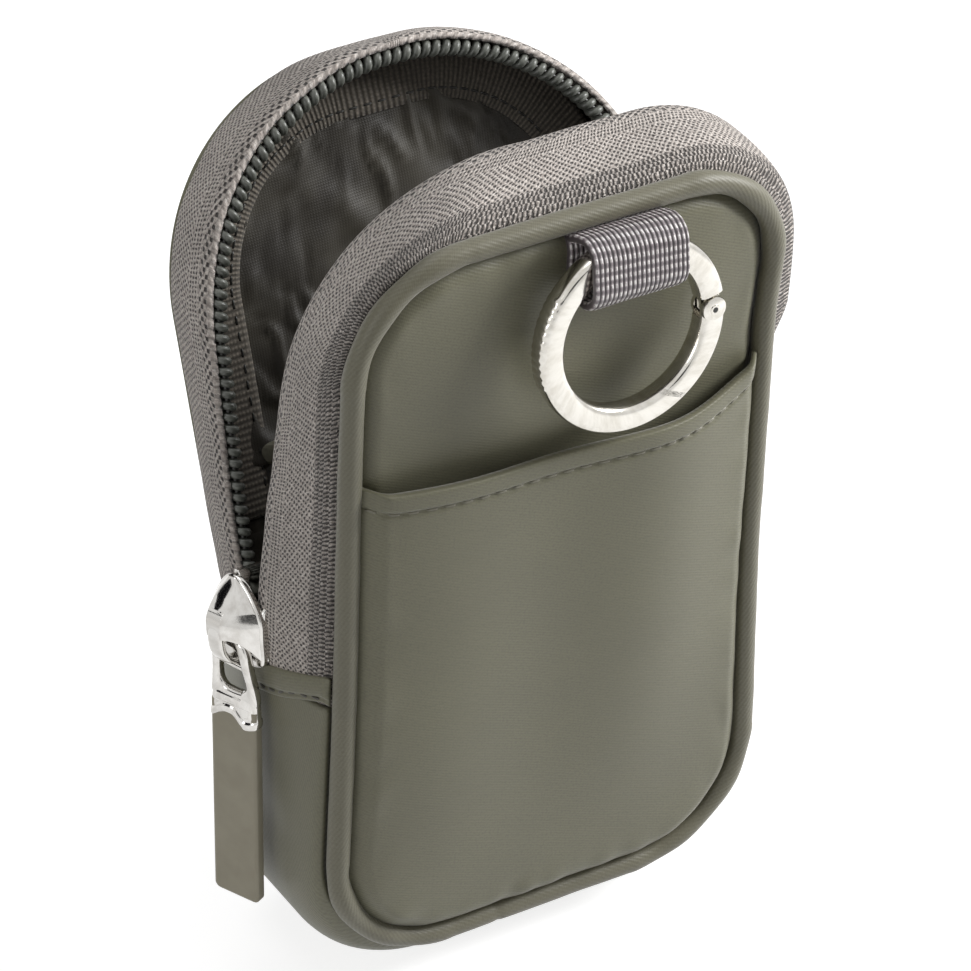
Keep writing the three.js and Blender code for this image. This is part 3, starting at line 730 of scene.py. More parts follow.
def pocketFace(x, z):
    low, mouth = pouch["low"], pocketCut["mouth"]
    up = np.clip((z - low) / (mouth - low), 0, 1.05)
    wide = np.clip(1 - (x / pouch["halfWidth"]) ** 2, 0, 1)
    # the mouth gapes most to the right of the middle
    lean = pocketCut["slack"] * up ** 1.8 * np.sqrt(wide) * (0.7 + pocketCut["gape"] * bell(x, 12, 15))
    bow = pocketCut["bow"] * np.sin(np.clip(up, 0, 1) * pi * 0.66 + 0.16) * wide ** 0.75
    wave = np.sin(2 * pi * (x - 25) / pocketCut["waveLong"]) * wide ** 0.5
    wave = pocketCut["wave"] * smoothStep(up * 1.7) * wave
    lump = pocketCut["lump"] * ripple(x, z, 23, 8, 60.0) * wide
    return pocketCut["rest"] - lean - bow + wave - lump + drawnEdge(x, z, pocketCut, 9)


def hemPuff(below, x):
    # below is the distance down from the mouth; the seam dips between its stitches
    pit = 0.5 - 0.5 * np.cos(2 * pi * (x - pocketCut["firstStitch"]) / pocketCut["pitch"])
    groove = -(0.16 + 0.2 * pit) * bell(below, pocketCut["hem"], 0.45)
    roll = pocketCut["hemPuff"] * smoothStep((pocketCut["hem"] - below) / 0.9)
    turn = np.sqrt(np.clip(1 - np.clip(1 - below / 0.8, 0, 1) ** 2, 0, 1))
    return groove + roll * (0.35 + 0.65 * turn)


def makeFrontPocket():
    inset, radius, mouth = pocketCut["inset"], pouch["frontTopRadius"], pocketCut["mouth"]
    low = pouch["low"] + inset
    rows = panelRows(inset, radius, low, mouth - 5.5, 100, 30)
    rows = np.concatenate([rows, mouth - np.linspace(5.2, 0, 30)])
    x = np.linspace(-1, 1, pocketCut["columns"]) * halfWidthAt(rows, inset, radius)[:, None]
    z = low + ((rows - low) / (mouth - low))[:, None] * (pocketMouth(x) - low)
    y = pocketFace(x, z)
    puff = hemPuff(pocketMouth(x) - z, x)
    front, back = sway(spread(x, y - puff, z)), sway(spread(x, y + pocketCut["thick"] + 0.35 * puff, z))
    nodes = ["front_pocket", "pocket_hem"]
    piece = sewnSheet("frontPocket", "twill", nodes, front, back, spread(x, z))

    threads = PieceMesh()
    xs = np.arange(pocketCut["firstStitch"], pocketCut["lastStitch"], pocketCut["pitch"])
    spots = []
    for dx in (-0.3, 0.0, 0.3):
        zs = pocketMouth(xs + dx) - pocketCut["hem"]
        spots.append(sway(spread(xs + dx, pocketFace(xs + dx, zs) - hemPuff(pocketCut["hem"], xs), zs)))
    out, ahead = np.array([0, -1.0, 0]), unit(spots[2] - spots[0])
    stitchRow(threads, spots[1], ahead, out, pocketCut["stitch"], pocketCut["thread"], sink=0.1)
    stitches = threads.finished("pocketStitches", ["thread"], body="pouch")


makeFrontPocket()

# Piping: a covered cord round the front, cut on the bias, joined near the bottom
pipingCut = {"radius": 1.72, "inset": 1.78, "sides": 22, "step": 0.7, "joinX": -8.0}


def makePiping():
    track = outlineTrack(pipingCut["inset"], pouch["frontTopRadius"])
    p, n, s = evenTrack(*track, pipingCut["step"])
    p, n, angle = p[:-1], n[:-1], circle(pipingCut["sides"])
    corner = np.abs(np.gradient(n, axis=0)).sum(1)
    lump = 1 + 0.025 * ripple(s[:-1], 0.0, 31, 7, 19.0)
    pleat = 0.05 * np.sin(s[:-1] / 1.7) * smoothStep(corner / 0.03)
    below = (p[:, 1] < 20) & (np.abs(p[:, 0] - pipingCut["joinX"]) < 4)
    join = np.where(below, bell(p[:, 0], pipingCut["joinX"], 0.5), 0)
    r = (pipingCut["radius"] * (lump + pleat - 0.09 * join))[:, None]
    ring = lifted(p[:, None], n[:, None], r * np.cos(angle), pouch["frontY"] + r * np.sin(angle))
    mesh = PieceMesh()
    uv = uvGrid(np.linspace(0, 2 * pi * pipingCut["radius"], len(angle) + 1), s)
    mesh.tube(sway(ring), uv, closed=True)
    mesh.finished("frontPiping", ["piping"], ["front_piping"], "pouch")


makePiping()
print("front sewn")

# Zip tapes and coils
tapeCut = {
    "thick": 0.9, "rows": 30, "tail": 50.8, "puff": 0.5, "groove": 0.75, "curl": 0.3, "curlWide": 1.3,
    "drawIn": 2.4, "drawnZ": (60, 42), "rightPuff": 2.9, "puffZ": (76, 26), "ripple": 0.12,
    "tuck": 0.85, "tuckZ": (53.0, 3.0), "facing": 8.5, "facingY": 11.0, "facingIn": 1.3, "facingLow": 66.0,
    "facingThick": 0.6, "facingPuff": 0.45, "stitch": 1.6, "thread": 0.2, "fold": (3.2, 6.5),
}
coilCut = {
    "pitch": 1.65, "wire": 0.62, "cord": 0.62, "half": 0.8, "deep": 0.75, "under": 0.8, "gap": 0.1,
    "stepsPerTurn": 12, "start": 56.0,
}


def rimOut(points, normals):
    # how far a rim stands out: most beside the slider, less where the loose zip draws in above it
    up = normals[..., 1]
    left = 1 - smoothStep(points[..., 0] / 20)
    drawn = tapeCut["drawIn"] * ramp(points[..., 1], *tapeCut["drawnZ"]) * (1 - smoothStep(up * 1.2))
    return mixed(pouch["sideSwell"], pouch["rimSwell"], smoothStep(up)) - drawn * mixed(0.4, 1, left)


def tapeGrid(seamRadius, seamY, rimRadius, rimY, rightRadius):
    seam, seamNormals = archTrack(0, seamRadius, tapeCut["tail"])
    rim, rimNormals = archTrack(0, rimRadius, tapeCut["tail"], rightRadius)
    t = np.linspace(0, 1, tapeCut["rows"])[:, None]
    p, n = mixed(seam, rim, t[..., None]), unit(mixed(seamNormals, rimNormals, t[..., None]))
    wide = abs(rimY - seamY)
    down = t * wide
    out = t * rimOut(rim, rimNormals) + tapeCut["puff"] * np.sin(pi * t)
    if rightRadius is not None:
        # the closed side of the front stands up straight behind its seam
        full = np.clip(n[..., 0], 0, 1) ** 1.8 * ramp(p[..., 1], *tapeCut["puffZ"])
        out = out + tapeCut["rightPuff"] * full * (1 - np.exp(-t / 0.07)) * (1 - 0.7 * t)
    out = out - tapeCut["groove"] * bell(down, 0, 0.8)
    out = out - tapeCut["curl"] * ramp(down, wide - tapeCut["curlWide"], tapeCut["curlWide"])
    out = out + tapeCut["ripple"] * ripple(alongOf(seam), down, 41, 6, 30.0)
    out = out - tapeCut["tuck"] * (1 - ramp(p[..., 1], *tapeCut["tuckZ"]))
    outer, inner = (sway(lifted(p, n, out - drop, mixed(seamY, rimY, t))) for drop in (0, tapeCut["thick"]))
    return outer, inner, uvGrid(alongOf((seam + rim) / 2), (1 - t[:, 0]) * wide)


def addFacing(mesh, span):
    # the tape's turned edge, sewn down on the inner wall round the rear arch
    track, normals, s = evenTrack(*archTrack(0, pouch["rearTopRadius"], tapeCut["facingLow"]), 1.2)
    depth = np.linspace(tapeCut["facingIn"], tapeCut["facingIn"] + tapeCut["facing"], 12)[:, None]
    puff = tapeCut["facingPuff"] * np.sin(np.linspace(0.12, 1, 12) * pi)[:, None] ** 0.5
    wavy = tapeCut["facingY"] - puff + tapeCut["ripple"] * ripple(s, depth, 77, 6, 16.0)
    front = lifted(track, normals, -depth, wavy)
    back = lifted(track, normals, -depth, tapeCut["facingY"] + tapeCut["facingThick"])
    uv = uvGrid(s, depth[:, 0])
    mesh.sheet(leanBack(sway(front), *span), leanBack(sway(back), *span), uv, kind=1, innerKind=1)
    row = front[9]
    a = math.radians(pouch["lean"])
    turn = np.array([[1, 0, 0], [0, math.cos(a), -math.sin(a)], [0, math.sin(a), math.cos(a)]])
    spots, ahead = leanBack(sway(row[2:-2:2]), *span), unit(row[3:-1:2] - row[1:-3:2]) @ turn
    out = np.array([0, -1.0, 0]) @ turn
    stitchRow(mesh, spots, ahead, out, tapeCut["stitch"], tapeCut["thread"], sink=0.1, kind=2)


def makeTape(name, node, seamRadius, seamY, rimRadius, side, rightRadius=None, span=None):
    rimY = pouch["rimMid"] + side * pouch["rimGap"]
    outer, inner, uv = tapeGrid(seamRadius, seamY, rimRadius, rimY, rightRadius)
    wide, long = abs(rimY - seamY), uv[0, -1, 0]
    mesh = PieceMesh()
    if span:
        mesh.sheet(leanBack(outer, *span), leanBack(inner, *span), uv, innerKind=1)
        addFacing(mesh, span)
        wide += tapeCut["facing"] * 0.7
    else:
        mesh.sheet(outer, inner, uv, innerKind=1)
    body = None if span else "pouch"
    piece = mesh.finished(name, ["tape", "tapeInside", "cordAndShade"], [node], body)
    if span:
        foldBlend(piece)


def makeCoil(name, node, rimRadius, side, body, rightRadius=None):
    track = archTrack(0, rimRadius, coilCut["start"], rightRadius)
    p, n, s = evenTrack(*track, coilCut["pitch"] / coilCut["stepsPerTurn"])
    phase = 2 * pi * s / coilCut["pitch"]
    hubY = pouch["rimMid"] + side * (pouch["rimGap"] + coilCut["half"] + coilCut["gap"])
    hubOut = rimOut(p, n) - tapeCut["thick"] - coilCut["under"] - coilCut["deep"]
    hub = sway(lifted(p, n, hubOut, hubY))
    wireOut, wireY = hubOut + coilCut["deep"] * np.cos(phase), hubY + side * coilCut["half"] * np.sin(phase)
    path = sway(lifted(p, n, wireOut, wireY))
    if body == "rear_half":
        path, hub = leanBack(path), leanBack(hub)
    t = unit(np.gradient(path, axis=0))
    # the wire's frame follows the loop's own outward direction
    away = path - hub
    away = unit(away - t * (away * t).sum(1)[:, None])
    mesh = PieceMesh()
    wireTube(mesh, path, away, np.cross(t, away), coilCut["wire"], 7, 3.1)
    roundTube(mesh, hub[::4], coilCut["cord"], (0.0, 1.0, 0.1), 8, kind=1)
    mesh.finished(name, ["coil", "cordAndShade"], [node], body)


frontRim, rearRim = pouch["frontRimRadius"], pouch["rearRimRadius"]
makeTape(
    "frontZipTape", "front_zip_tape", pouch["frontTopRadius"], pouch["seamFront"], frontRim, -1,
    pouch["frontRimRight"],
)
makeTape(
    "rearZipTape", "rear_zip_tape", pouch["rearTopRadius"], pouch["seamRear"], rearRim, 1,
    span=foldSpan(*tapeCut["fold"], pouch["seamRear"]),
)
makeCoil("frontZipCoil", "front_zip_coil", frontRim, -1, "pouch", pouch["frontRimRight"])
makeCoil("rearZipCoil", "rear_zip_coil", rearRim, 1, "rear_half")
print("zip sewn in")

# Lower gusset: one strip under the pouch that swells between its seams
gussetCut = {
    "thick": 1.1, "rows": 44, "bulge": 5.5, "crease": 0.2, "lining": 0.5, "liningHalf": 12.0, "gap": 0.05,
}


def towardsZip(z):
    low = pouch["low"] + pouch["lowRadius"]
    return ramp(z, low, pouch["zipEnd"] - low)


def gussetProfile(y, z):
    # a broad flat underneath, a rounded ridge at the zip ends
    front, rear = pouch["seamFront"], pouch["seamRear"]
    eta = np.clip(np.abs((y - (front + rear) / 2) / ((rear - front) / 2)), 0, 1)
    broad = np.clip(1.03 * (1 - eta ** 3.6) ** 0.5, 0, 1)
    return mixed(broad, 1 - eta ** 1.6, towardsZip(z))


def gussetGrid(drop, first, last):
    p, n = bowlTrack(0, pouch["zipEnd"] - 0.2)
    side = mixed(pouch["rimSwell"], pouch["sideSwell"], towardsZip(p[:, 1]))
    swell = side + (gussetCut["bulge"] - side) * smoothStep(-n[:, 1])
    y = np.linspace(first, last, gussetCut["rows"])[:, None]
    s = alongOf(p)
    fold = gussetCut["crease"] * ripple(s, y * 0.8, 57, 7, 24.0) * (1 - smoothStep(-n[:, 1] / 0.9))
    out = (swell + fold) * gussetProfile(y, p[:, 1]) - drop
    return sway(lifted(p, n, out, y)), uvGrid(s, y[:, 0] - first)


def makeGusset():
    thick, seams = gussetCut["thick"], (pouch["seamFront"], pouch["seamRear"])
    outer, uv = gussetGrid(0, *seams)
    inner, _ = gussetGrid(thick, *seams)
    gusset = sewnSheet("lowerGusset", "twill", ["lower_gusset"], outer, inner, uv)
    cutLong = uv[0, -1, 0] * mm * 1.04
    reach, under = (-gussetCut["liningHalf"], gussetCut["liningHalf"]), thick + gussetCut["gap"]
    outer, uv = gussetGrid(under, *reach)
    inner, _ = gussetGrid(under + gussetCut["lining"], *reach)
    piece = sewnSheet("gussetLining", "lining", ["gusset_lining"], outer, inner, uv)
    return gusset, cutLong


gusset, gussetLong = makeGusset()

# Turned gusset ends over the ends of the zip
hemCut = {
    "tall": 4.6, "thick": 0.5, "roll": 0.4, "out": 0.05, "rise": 1.0, "lift": 4.5, "rearDip": 0.8,
    "past": 0.75, "seamAt": 0.2, "seamDeep": 0.4,
    "firstStitch": -12.2, "lastStitch": 12.0, "stitch": 1.5, "pitch": 2.1, "thread": 0.22,
}


def hemTop(y):
    # higher beside the front seam, low where the slider sits
    front = hemCut["lift"] * np.clip((0.5 - y) / 14, 0, 1) ** 1.1
    return pouch["zipEnd"] + hemCut["rise"] + front - hemCut["rearDip"] * ramp(y, 6, 6)


def hemFold(t, y):
    # thin at its sewn lower edge, rolled at the top, flatter under the pull
    roll = np.abs(np.sin(pi * np.clip(0.04 + 0.92 * t, 0, 1))) ** 0.6 * (hemCut["thick"] + hemCut["roll"])
    seam = hemCut["seamDeep"] * bell(t, hemCut["seamAt"], 0.08)
    calm = 1 - 0.4 * ramp(y, -7, 3) * ramp(-y, -6, 3)
    return (roll - seam) * calm + 0.07 * np.sin(y / 1.9)


def makeHem(side, name, node):
    y = np.linspace(pouch["seamFront"] - hemCut["past"], pouch["seamRear"], 60)
    t = np.linspace(0, 1, 26)[:, None]
    first, last = np.clip((y - y[0]) / 0.8, 0, 1), np.clip((y[-1] - y) / 1.6, 0, 1)
    ends = np.sin(first * pi / 2) * np.sin(last * pi / 2)

    def spot(t, y):
        wall = pouch["halfWidth"] + pouch["sideSwell"] * gussetProfile(y, pouch["zipEnd"])
        return wall, hemTop(y) + (t - 1) * hemCut["tall"] + 0.25 * np.sin(y / 2.4) * (1 - t)

    def seamSpot(y):
        wall, z = spot(hemCut["seamAt"], y)
        out = wall + hemCut["out"] + hemFold(hemCut["seamAt"], y) + 0.05
        return spread(side * out, y, z + 0.16 * np.sin(y * 3.7))
    wall, z = spot(t, y)
    out = wall + hemCut["out"] + hemFold(t, y) * (0.3 + 0.7 * ends)
    outer, inner = sway(spread(side * out, y, z)), sway(spread(side * (wall - 0.25), y, z))
    piece = sewnSheet(name, "twill", [node], outer, inner, spread(y, z))
    ys = np.arange(hemCut["firstStitch"], hemCut["lastStitch"], hemCut["pitch"])
    ahead = unit(seamSpot(ys + 0.3) - seamSpot(ys - 0.3))
    threads = PieceMesh()
    away = np.array([float(side), 0, 0])
    stitchRow(threads, sway(seamSpot(ys)), ahead, away, hemCut["stitch"], hemCut["thread"], sink=0.0)
    return [piece, threads.finished(name + "Stitches", ["darkThread"], body="pouch")]


hems = makeHem(-1, "leftGussetHem", "left_gusset_hem") + makeHem(1, "rightGussetHem", "right_gusset_hem")
print("gusset sewn")

# Rear half: one padded panel and one lining that both run over the fold
rearCut = {
    "inset": 0.15, "columns": 90, "inner": 12.45, "outer": 15.55, "edge": 14.2, "crown": 1.0, "lump": 0.2,
    "dip": 1.25, "dipWide": 3.2, "fold": (5.0, 5.0),
}


def makeRearPanel():
    inset, radius = rearCut["inset"], pouch["rearTopRadius"]
    x, z = panelGrid(inset, radius, pouch["low"] + inset, pouch["top"] - inset, 110, 34, rearCut["columns"])
    d = edgeDepth(x, z, inset, radius)
    edge = rearCut["dip"] * (1 - smoothStep(d / rearCut["dipWide"])) ** 1.4
    y = rearCut["outer"] + rearCut["crown"] * np.sin(np.clip(d / 26, 0, 1) * pi / 2) - edge
    y = y + rearCut["lump"] * ripple(x, z, 67, 7, 55.0) * smoothStep(d / 8)
    inner = mixed(rearCut["edge"], rearCut["inner"], smoothStep(d / 1.7))
    span = foldSpan(*rearCut["fold"], pouch["hingeY"])
    nodes = ["rear_panel_lower", "rear_panel_upper", "rear_padding_lower", "rear_padding_upper"]
    outer, inner = (sway(spread(x, depth, z)) for depth in (y, inner))
    piece = sewnSheet("rearPanel", "twill", nodes, outer, inner, spread(x, z), span=span)


liningCut = {"low": 8.6, "thick": 0.4, "columns": 96, "fold": (4.5, 7.0), "flat": (0.072, 0.120)}


def makeLining(name, nodes, high, inset, radius, inner, wrinkle, seed, leaning):
    x, z = panelGrid(inset, radius, liningCut["low"], high, 100, 26, liningCut["columns"])
    d = edgeDepth(x, z, inset, radius)
    fold = ripple(x * 1.2, z * 0.8, seed, 9, 30.0) + 0.6 * ripple(x, z * 2.2, seed + 1, 7, 34.0)
    crease = np.abs(ripple(x * 0.9 + z * 0.5, z - x * 0.4, seed + 2, 6, 22.0))
    fold = fold + 0.9 * (1 - smoothStep(crease / 0.35))
    side = np.sign(inner)
    y = inner - wrinkle * (0.6 + np.abs(fold)) * smoothStep(d / 5) * side
    front, back = sway(spread(x, y, z)), sway(spread(x, inner + liningCut["thick"] * side, z))
    span = foldSpan(*liningCut["fold"], inner) if leaning else None
    piece = sewnSheet(name, "lining", nodes, front, back, spread(x, z), span=span)


makeRearPanel()
makeLining(
    "rearLining", ["rear_lining_lower", "rear_lining_upper"], high=126.4, inset=1.9,
    radius=pouch["rearTopRadius"], inner=11.9, wrinkle=0.75, seed=71, leaning=True,
)
makeLining(
    "frontLining", ["front_lining"], high=126.3, inset=1.7,
    radius=pouch["frontTopRadius"], inner=-12.5, wrinkle=0.3, seed=83, leaning=False,
)

# Card pocket on the rear lining, with a bound mouth
cardCut = {
    "half": 30.0, "low": 14.5, "mouth": 76.0, "face": 10.0, "back": 11.55, "thick": 0.5, "sag": 0.35,
    "bindDeep": 0.62, "bindTall": 1.6, "bindDrop": 1.3, "fold": (4.5, 7.0), "foldY": 10.6,
}


def cardFace(x, z):
    d = np.minimum(cardCut["half"] - np.abs(x), z - cardCut["low"])
    tall = cardCut["mouth"] - cardCut["low"]
    sag = cardCut["sag"] * np.sin((z - cardCut["low"]) / tall * pi) * np.cos(x / 60 * pi)
    face = cardCut["face"] - sag - 0.15 * ripple(x, z, 91, 6, 30.0)
    return mixed(cardCut["back"], face, smoothStep(d / 3.5))


def makeCardPocket():
    half, mouth, thick = cardCut["half"], cardCut["mouth"], cardCut["thick"]
    x, z = np.meshgrid(np.linspace(-half, half, 80), np.linspace(cardCut["low"], mouth, 80))
    span = foldSpan(*cardCut["fold"], cardCut["foldY"])
    front, back = (sway(spread(x, cardFace(x, z) + off, z)) for off in (0, thick))
    nodes = ["card_pocket_lower", "card_pocket_upper"]
    piece = sewnSheet("cardPocket", "meshPocket", nodes, front, back, spread(x, z), span=span)
    # a folded strip over the mouth
    a = circle(20)
    xs = np.linspace(-half - 0.2, half + 0.2, 60)[:, None]
    y = cardFace(xs, mouth) + thick / 2 + cardCut["bindDeep"] * squared(np.sin(a), 0.7)
    z = mouth - cardCut["bindDrop"] + cardCut["bindTall"] * squared(np.cos(a), 0.6)
    z = z + 0.08 * np.sin(xs / 2.0)
    mesh = PieceMesh()
    mesh.tube(leanBack(sway(spread(xs, y, z))), uvGrid(np.linspace(0, 8, 21), xs[:, 0]))
    mesh.finished("cardPocketBinding", ["piping"], ["card_pocket_binding"], "rear_half")


makeCardPocket()
print("rear half sewn")


# Zip slider and pull
def mirrored(side):
    return side + [(-y, z) for y, z in side[::-1]]


def smoothLoop(corners, count):
    # an even closed curve through rounded corner points
    c = np.array(corners, float)
    n = len(c)
    t = np.linspace(0, n, 40 * n, endpoint=False)
    i = t.astype(int)
    f = (t - i)[:, None]
    p0, p1, p2, p3 = (c[(i + k) % n] for k in (-1, 0, 1, 2))
    square, cube = 2 * p0 - 5 * p1 + 4 * p2 - p3, 3 * p1 - p0 - 3 * p2 + p3
    q = 0.5 * (2 * p1 + (p2 - p0) * f + square * f ** 2 + cube * f ** 3)
    s = alongOf(q, True)
    return resampled(np.concatenate([q, q[:1]]), s, np.linspace(0, s[-1], count, endpoint=False))


def loopNormals(p):
    n = unit(sideways(np.roll(p, -1, 0) - np.roll(p, 1, 0)))
    turn = np.sum(p[:, 0] * np.roll(p[:, 1], -1) - p[:, 1] * np.roll(p[:, 0], -1))
    return n if turn > 0 else -n


def roundedPlate(mesh, loop, low, high, bevel):
    # a plate in the y-z plane with rounded edges
    n = loopNormals(loop)
    a = np.linspace(0, pi / 2, 5)
    inset, step = bevel * (1 - np.sin(a)), bevel * (1 - np.cos(a))
    rings = [*zip(low + step, inset), *zip((high - step)[::-1], inset[::-1])]
    sections = np.stack([spread(x, *(loop - n * d).T) for x, d in rings])
    mesh.grid(sections, uvGrid(alongOf(loop, True), [x for x, _ in rings]), wrapCols=True)
    middle = loop.mean(0)
    for ring in (sections[0], sections[-1]):
        inwards = [middle + (ring[:, 1:] - middle) * k for k in (1, 0.75, 0.5, 0.25)]
        shells = np.stack([spread(ring[:, 0], *yz.T) for yz in inwards])
        mesh.grid(shells, np.concatenate([shells[:, :, 1:], shells[:, :1, 1:]], 1), wrapCols=True)
        mesh.cap(shells[-1], 0)


sliderCut = {
    "base": 55.5, "long": 13.6, "half": 5.3, "plate": 1.2, "outer": -40.5, "inner": -35.67,
    "turn": 13.0, "lean": 11.0, "shift": (-0.7, 0.15, -0.95), "strapHalf": 1.45, "strapThick": 1.1,
    "roofLow": 60.9, "roofRise": 4.35, "sweep": 4.0, "flangeLow": 56.2, "flangeTall": 8.6,
    "bevel": 0.45, "innerBevel": 0.4, "postBevel": 0.12,
}
# half widths and heights of the plate's edge, as shares
sliderSide = [(0.82, 0.01), (0.97, 0.09), (0.98, 0.3), (1.0, 0.5), (0.9, 0.64), (0.58, 0.85), (0.2, 0.985)]
postSide = [(-0.42, 62.0), (-0.45, 66.0), (-0.8, 68.6), (-0.5, 69.6)]
# the strap's way down from the roof: distance from the plate, height
strapKeys = [
    (-3.0, 64.8), (-3.75, 62.8), (-3.87, 61.5), (-3.95, 60.2),
    (-3.75, 58.6), (-2.9, 57.2), (-1.5, 56.3), (0.3, 55.9),
]


def turnedAbout(points, degrees, x0):
    # turns points about an upright line at x0 and sets them between the rims
    a = np.radians(degrees)
    dx, y = points[..., 0] - x0, points[..., 1]
    across, deep = dx * np.cos(a) - y * np.sin(a), dx * np.sin(a) + y * np.cos(a)
    return spread(x0 + across, deep + pouch["rimMid"], points[..., 2])


def setSlider(points, turn=True):
    # turned a little to the front and leaning with the parted zip
    q = turnedAbout(points, sliderCut["turn"] if turn else 0.0, sliderCut["outer"] - sliderCut["plate"] / 2)
    a = math.radians(sliderCut["lean"])
    y, z = q[..., 1] - pouch["rimMid"], q[..., 2] - sliderCut["base"]
    dx, dy, dz = sliderCut["shift"]
    return spread(
        q[..., 0] + dx, pouch["rimMid"] + dy + y * math.cos(a) + z * math.sin(a),
        sliderCut["base"] + dz + z * math.cos(a) - y * math.sin(a),
    )


def sliderOutline():
    z0, long, half = sliderCut["base"], sliderCut["long"], sliderCut["half"]
    foot = [(k * half, z0 - 0.02 * long) for k in (-0.35, 0.35)]
    return smoothLoop(mirrored([(half * k, z0 + long * z) for k, z in sliderSide]) + foot, 84)


def crownRoof(mesh, foot):
    # two flanks that slope from the strap to the plate's edges, open below for the pull
    z = np.linspace(sliderCut["base"] + sliderCut["long"] - 0.15, sliderCut["roofLow"], 34)[:, None]
    down = z[0] - z
    s, under = np.linspace(0, 1, 14), np.linspace(-1, 1, 10)
    # the flanks reach further down beside the plate's edges
    reach = np.concatenate([1 - s, s, np.abs(under)]) ** 2.2
    zz = z - sliderCut["sweep"] * (down / down[-1]) ** 3 * reach
    share = (zz - sliderCut["base"]) / sliderCut["long"]
    wide, tall = np.array(sliderSide).T
    edge = np.interp(share, tall, wide) * sliderCut["half"] - 0.3
    strap = np.minimum(0.5 + 0.35 * down, sliderCut["strapHalf"])
    right, left = mixed(edge[:, :14], strap, s), -mixed(edge[:, 14:28], strap, s[::-1])
    y = np.concatenate([right, left, under * edge[:, 28:]], 1)
    side = sliderCut["roofRise"] * ramp(down, -0.5, 6.6) ** 0.85 * (1 - (1 - s) ** 1.22)
    up = np.concatenate([side, side[:, ::-1], np.full((len(z), 10), -0.35)], 1)
    mesh.tube(spread(foot - up, y, zz), uvGrid(np.linspace(0, 14, y.shape[1] + 1), z[:, 0]))


def addStrap(mesh, foot):
    keys = np.array(strapKeys)
    path = softened(resampled(keys, np.arange(len(keys)), np.linspace(0, len(keys) - 1, 50)), 6)
    n = sideways(unit(np.gradient(path, axis=0)))
    a = circle(32)
    across = squared(np.cos(a), 0.45) * sliderCut["strapHalf"]
    up = squared(np.sin(a), 0.6) * sliderCut["strapThick"] / 2
    x, z = np.moveaxis(path[:, None] + n[:, None] * up[None, :, None], -1, 0)
    mesh.tube(spread(foot + x, across, z), uvGrid(np.linspace(0, 9, 33), alongOf(path)))


def makeSlider():
    outer, plate, inner = sliderCut["outer"], sliderCut["plate"], sliderCut["inner"]
    mesh = PieceMesh()
    loop = sliderOutline()
    roundedPlate(mesh, loop, outer - plate, outer, sliderCut["bevel"])
    # side flanges turned in over the coils
    z = np.linspace(0, 1, 24)[:, None]
    fade = np.sin(z * pi) ** 0.3
    z = sliderCut["flangeLow"] + z * sliderCut["flangeTall"]
    a = circle(14)
    for side in (-1, 1):
        y = side * (sliderCut["half"] * 0.97 - 0.4)
        ring = spread(outer + 0.35 + 1.15 * fade * np.cos(a), y + 0.45 * np.sin(a), z)
        mesh.tube(ring, uvGrid(np.linspace(0, 4, 15), z[:, 0]))
    mesh.move(setSlider)
    # the inner plate and the post that parts the coils
    low = PieceMesh()
    roundedPlate(low, loop, inner, inner + plate, sliderCut["innerBevel"])
    post = smoothLoop(mirrored(postSide), 32)
    roundedPlate(low, post, outer - 0.3, inner + 0.3, sliderCut["postBevel"])
    low.move(lambda p: setSlider(p, False))
    mesh.take(low)
    mesh.finished("sliderBody", ["slider"], ["slider_body"], "slider", 40)

    # crown: flanks and a strap that bends down below the pull's eye
    mesh = PieceMesh()
    crownRoof(mesh, outer - plate)
    addStrap(mesh, outer - plate)
    mesh.move(setSlider)
    mesh.finished("sliderCrown", ["slider"], ["slider_crown"], "slider", 32)


makeSlider()

pullCut = {
    "x": -43.88, "pivotZ": 59.5, "eyeZ": 58.8, "bar": 0.8, "bridge": 0.55, "bridgeZ": 55.2,
    "capTop": 50.6, "capLow": 45.4, "capHalf": 4.15, "lip": 1.36, "arch": 2.0,
    "tabTop": 48.6, "tabLow": 13.2, "tabHalf": 3.94, "tabThick": 1.9, "tabCorner": 0.95,
    "turnTop": 13.0, "turnLow": 24.5, "hang": 2.1, "shift": (-0.2, -1.7),
}


def hungPull(points):
    # the loose pull turns and shifts a little towards its end and hangs in towards the gusset
    z = points[..., 2]
    low = smoothStep((pullCut["pivotZ"] - z) / 9)
    q = turnedAbout(points, mixed(pullCut["turnTop"], pullCut["turnLow"], low), pullCut["x"])
    a = math.radians(pullCut["hang"])
    dx, dz = q[..., 0] - pullCut["x"] + pullCut["shift"][0] * low, z - pullCut["pivotZ"]
    return spread(
        pullCut["x"] + dx * math.cos(a) - dz * math.sin(a), q[..., 1] + pullCut["shift"][1] * low,
        pullCut["pivotZ"] + dx * math.sin(a) + dz * math.cos(a),
    )


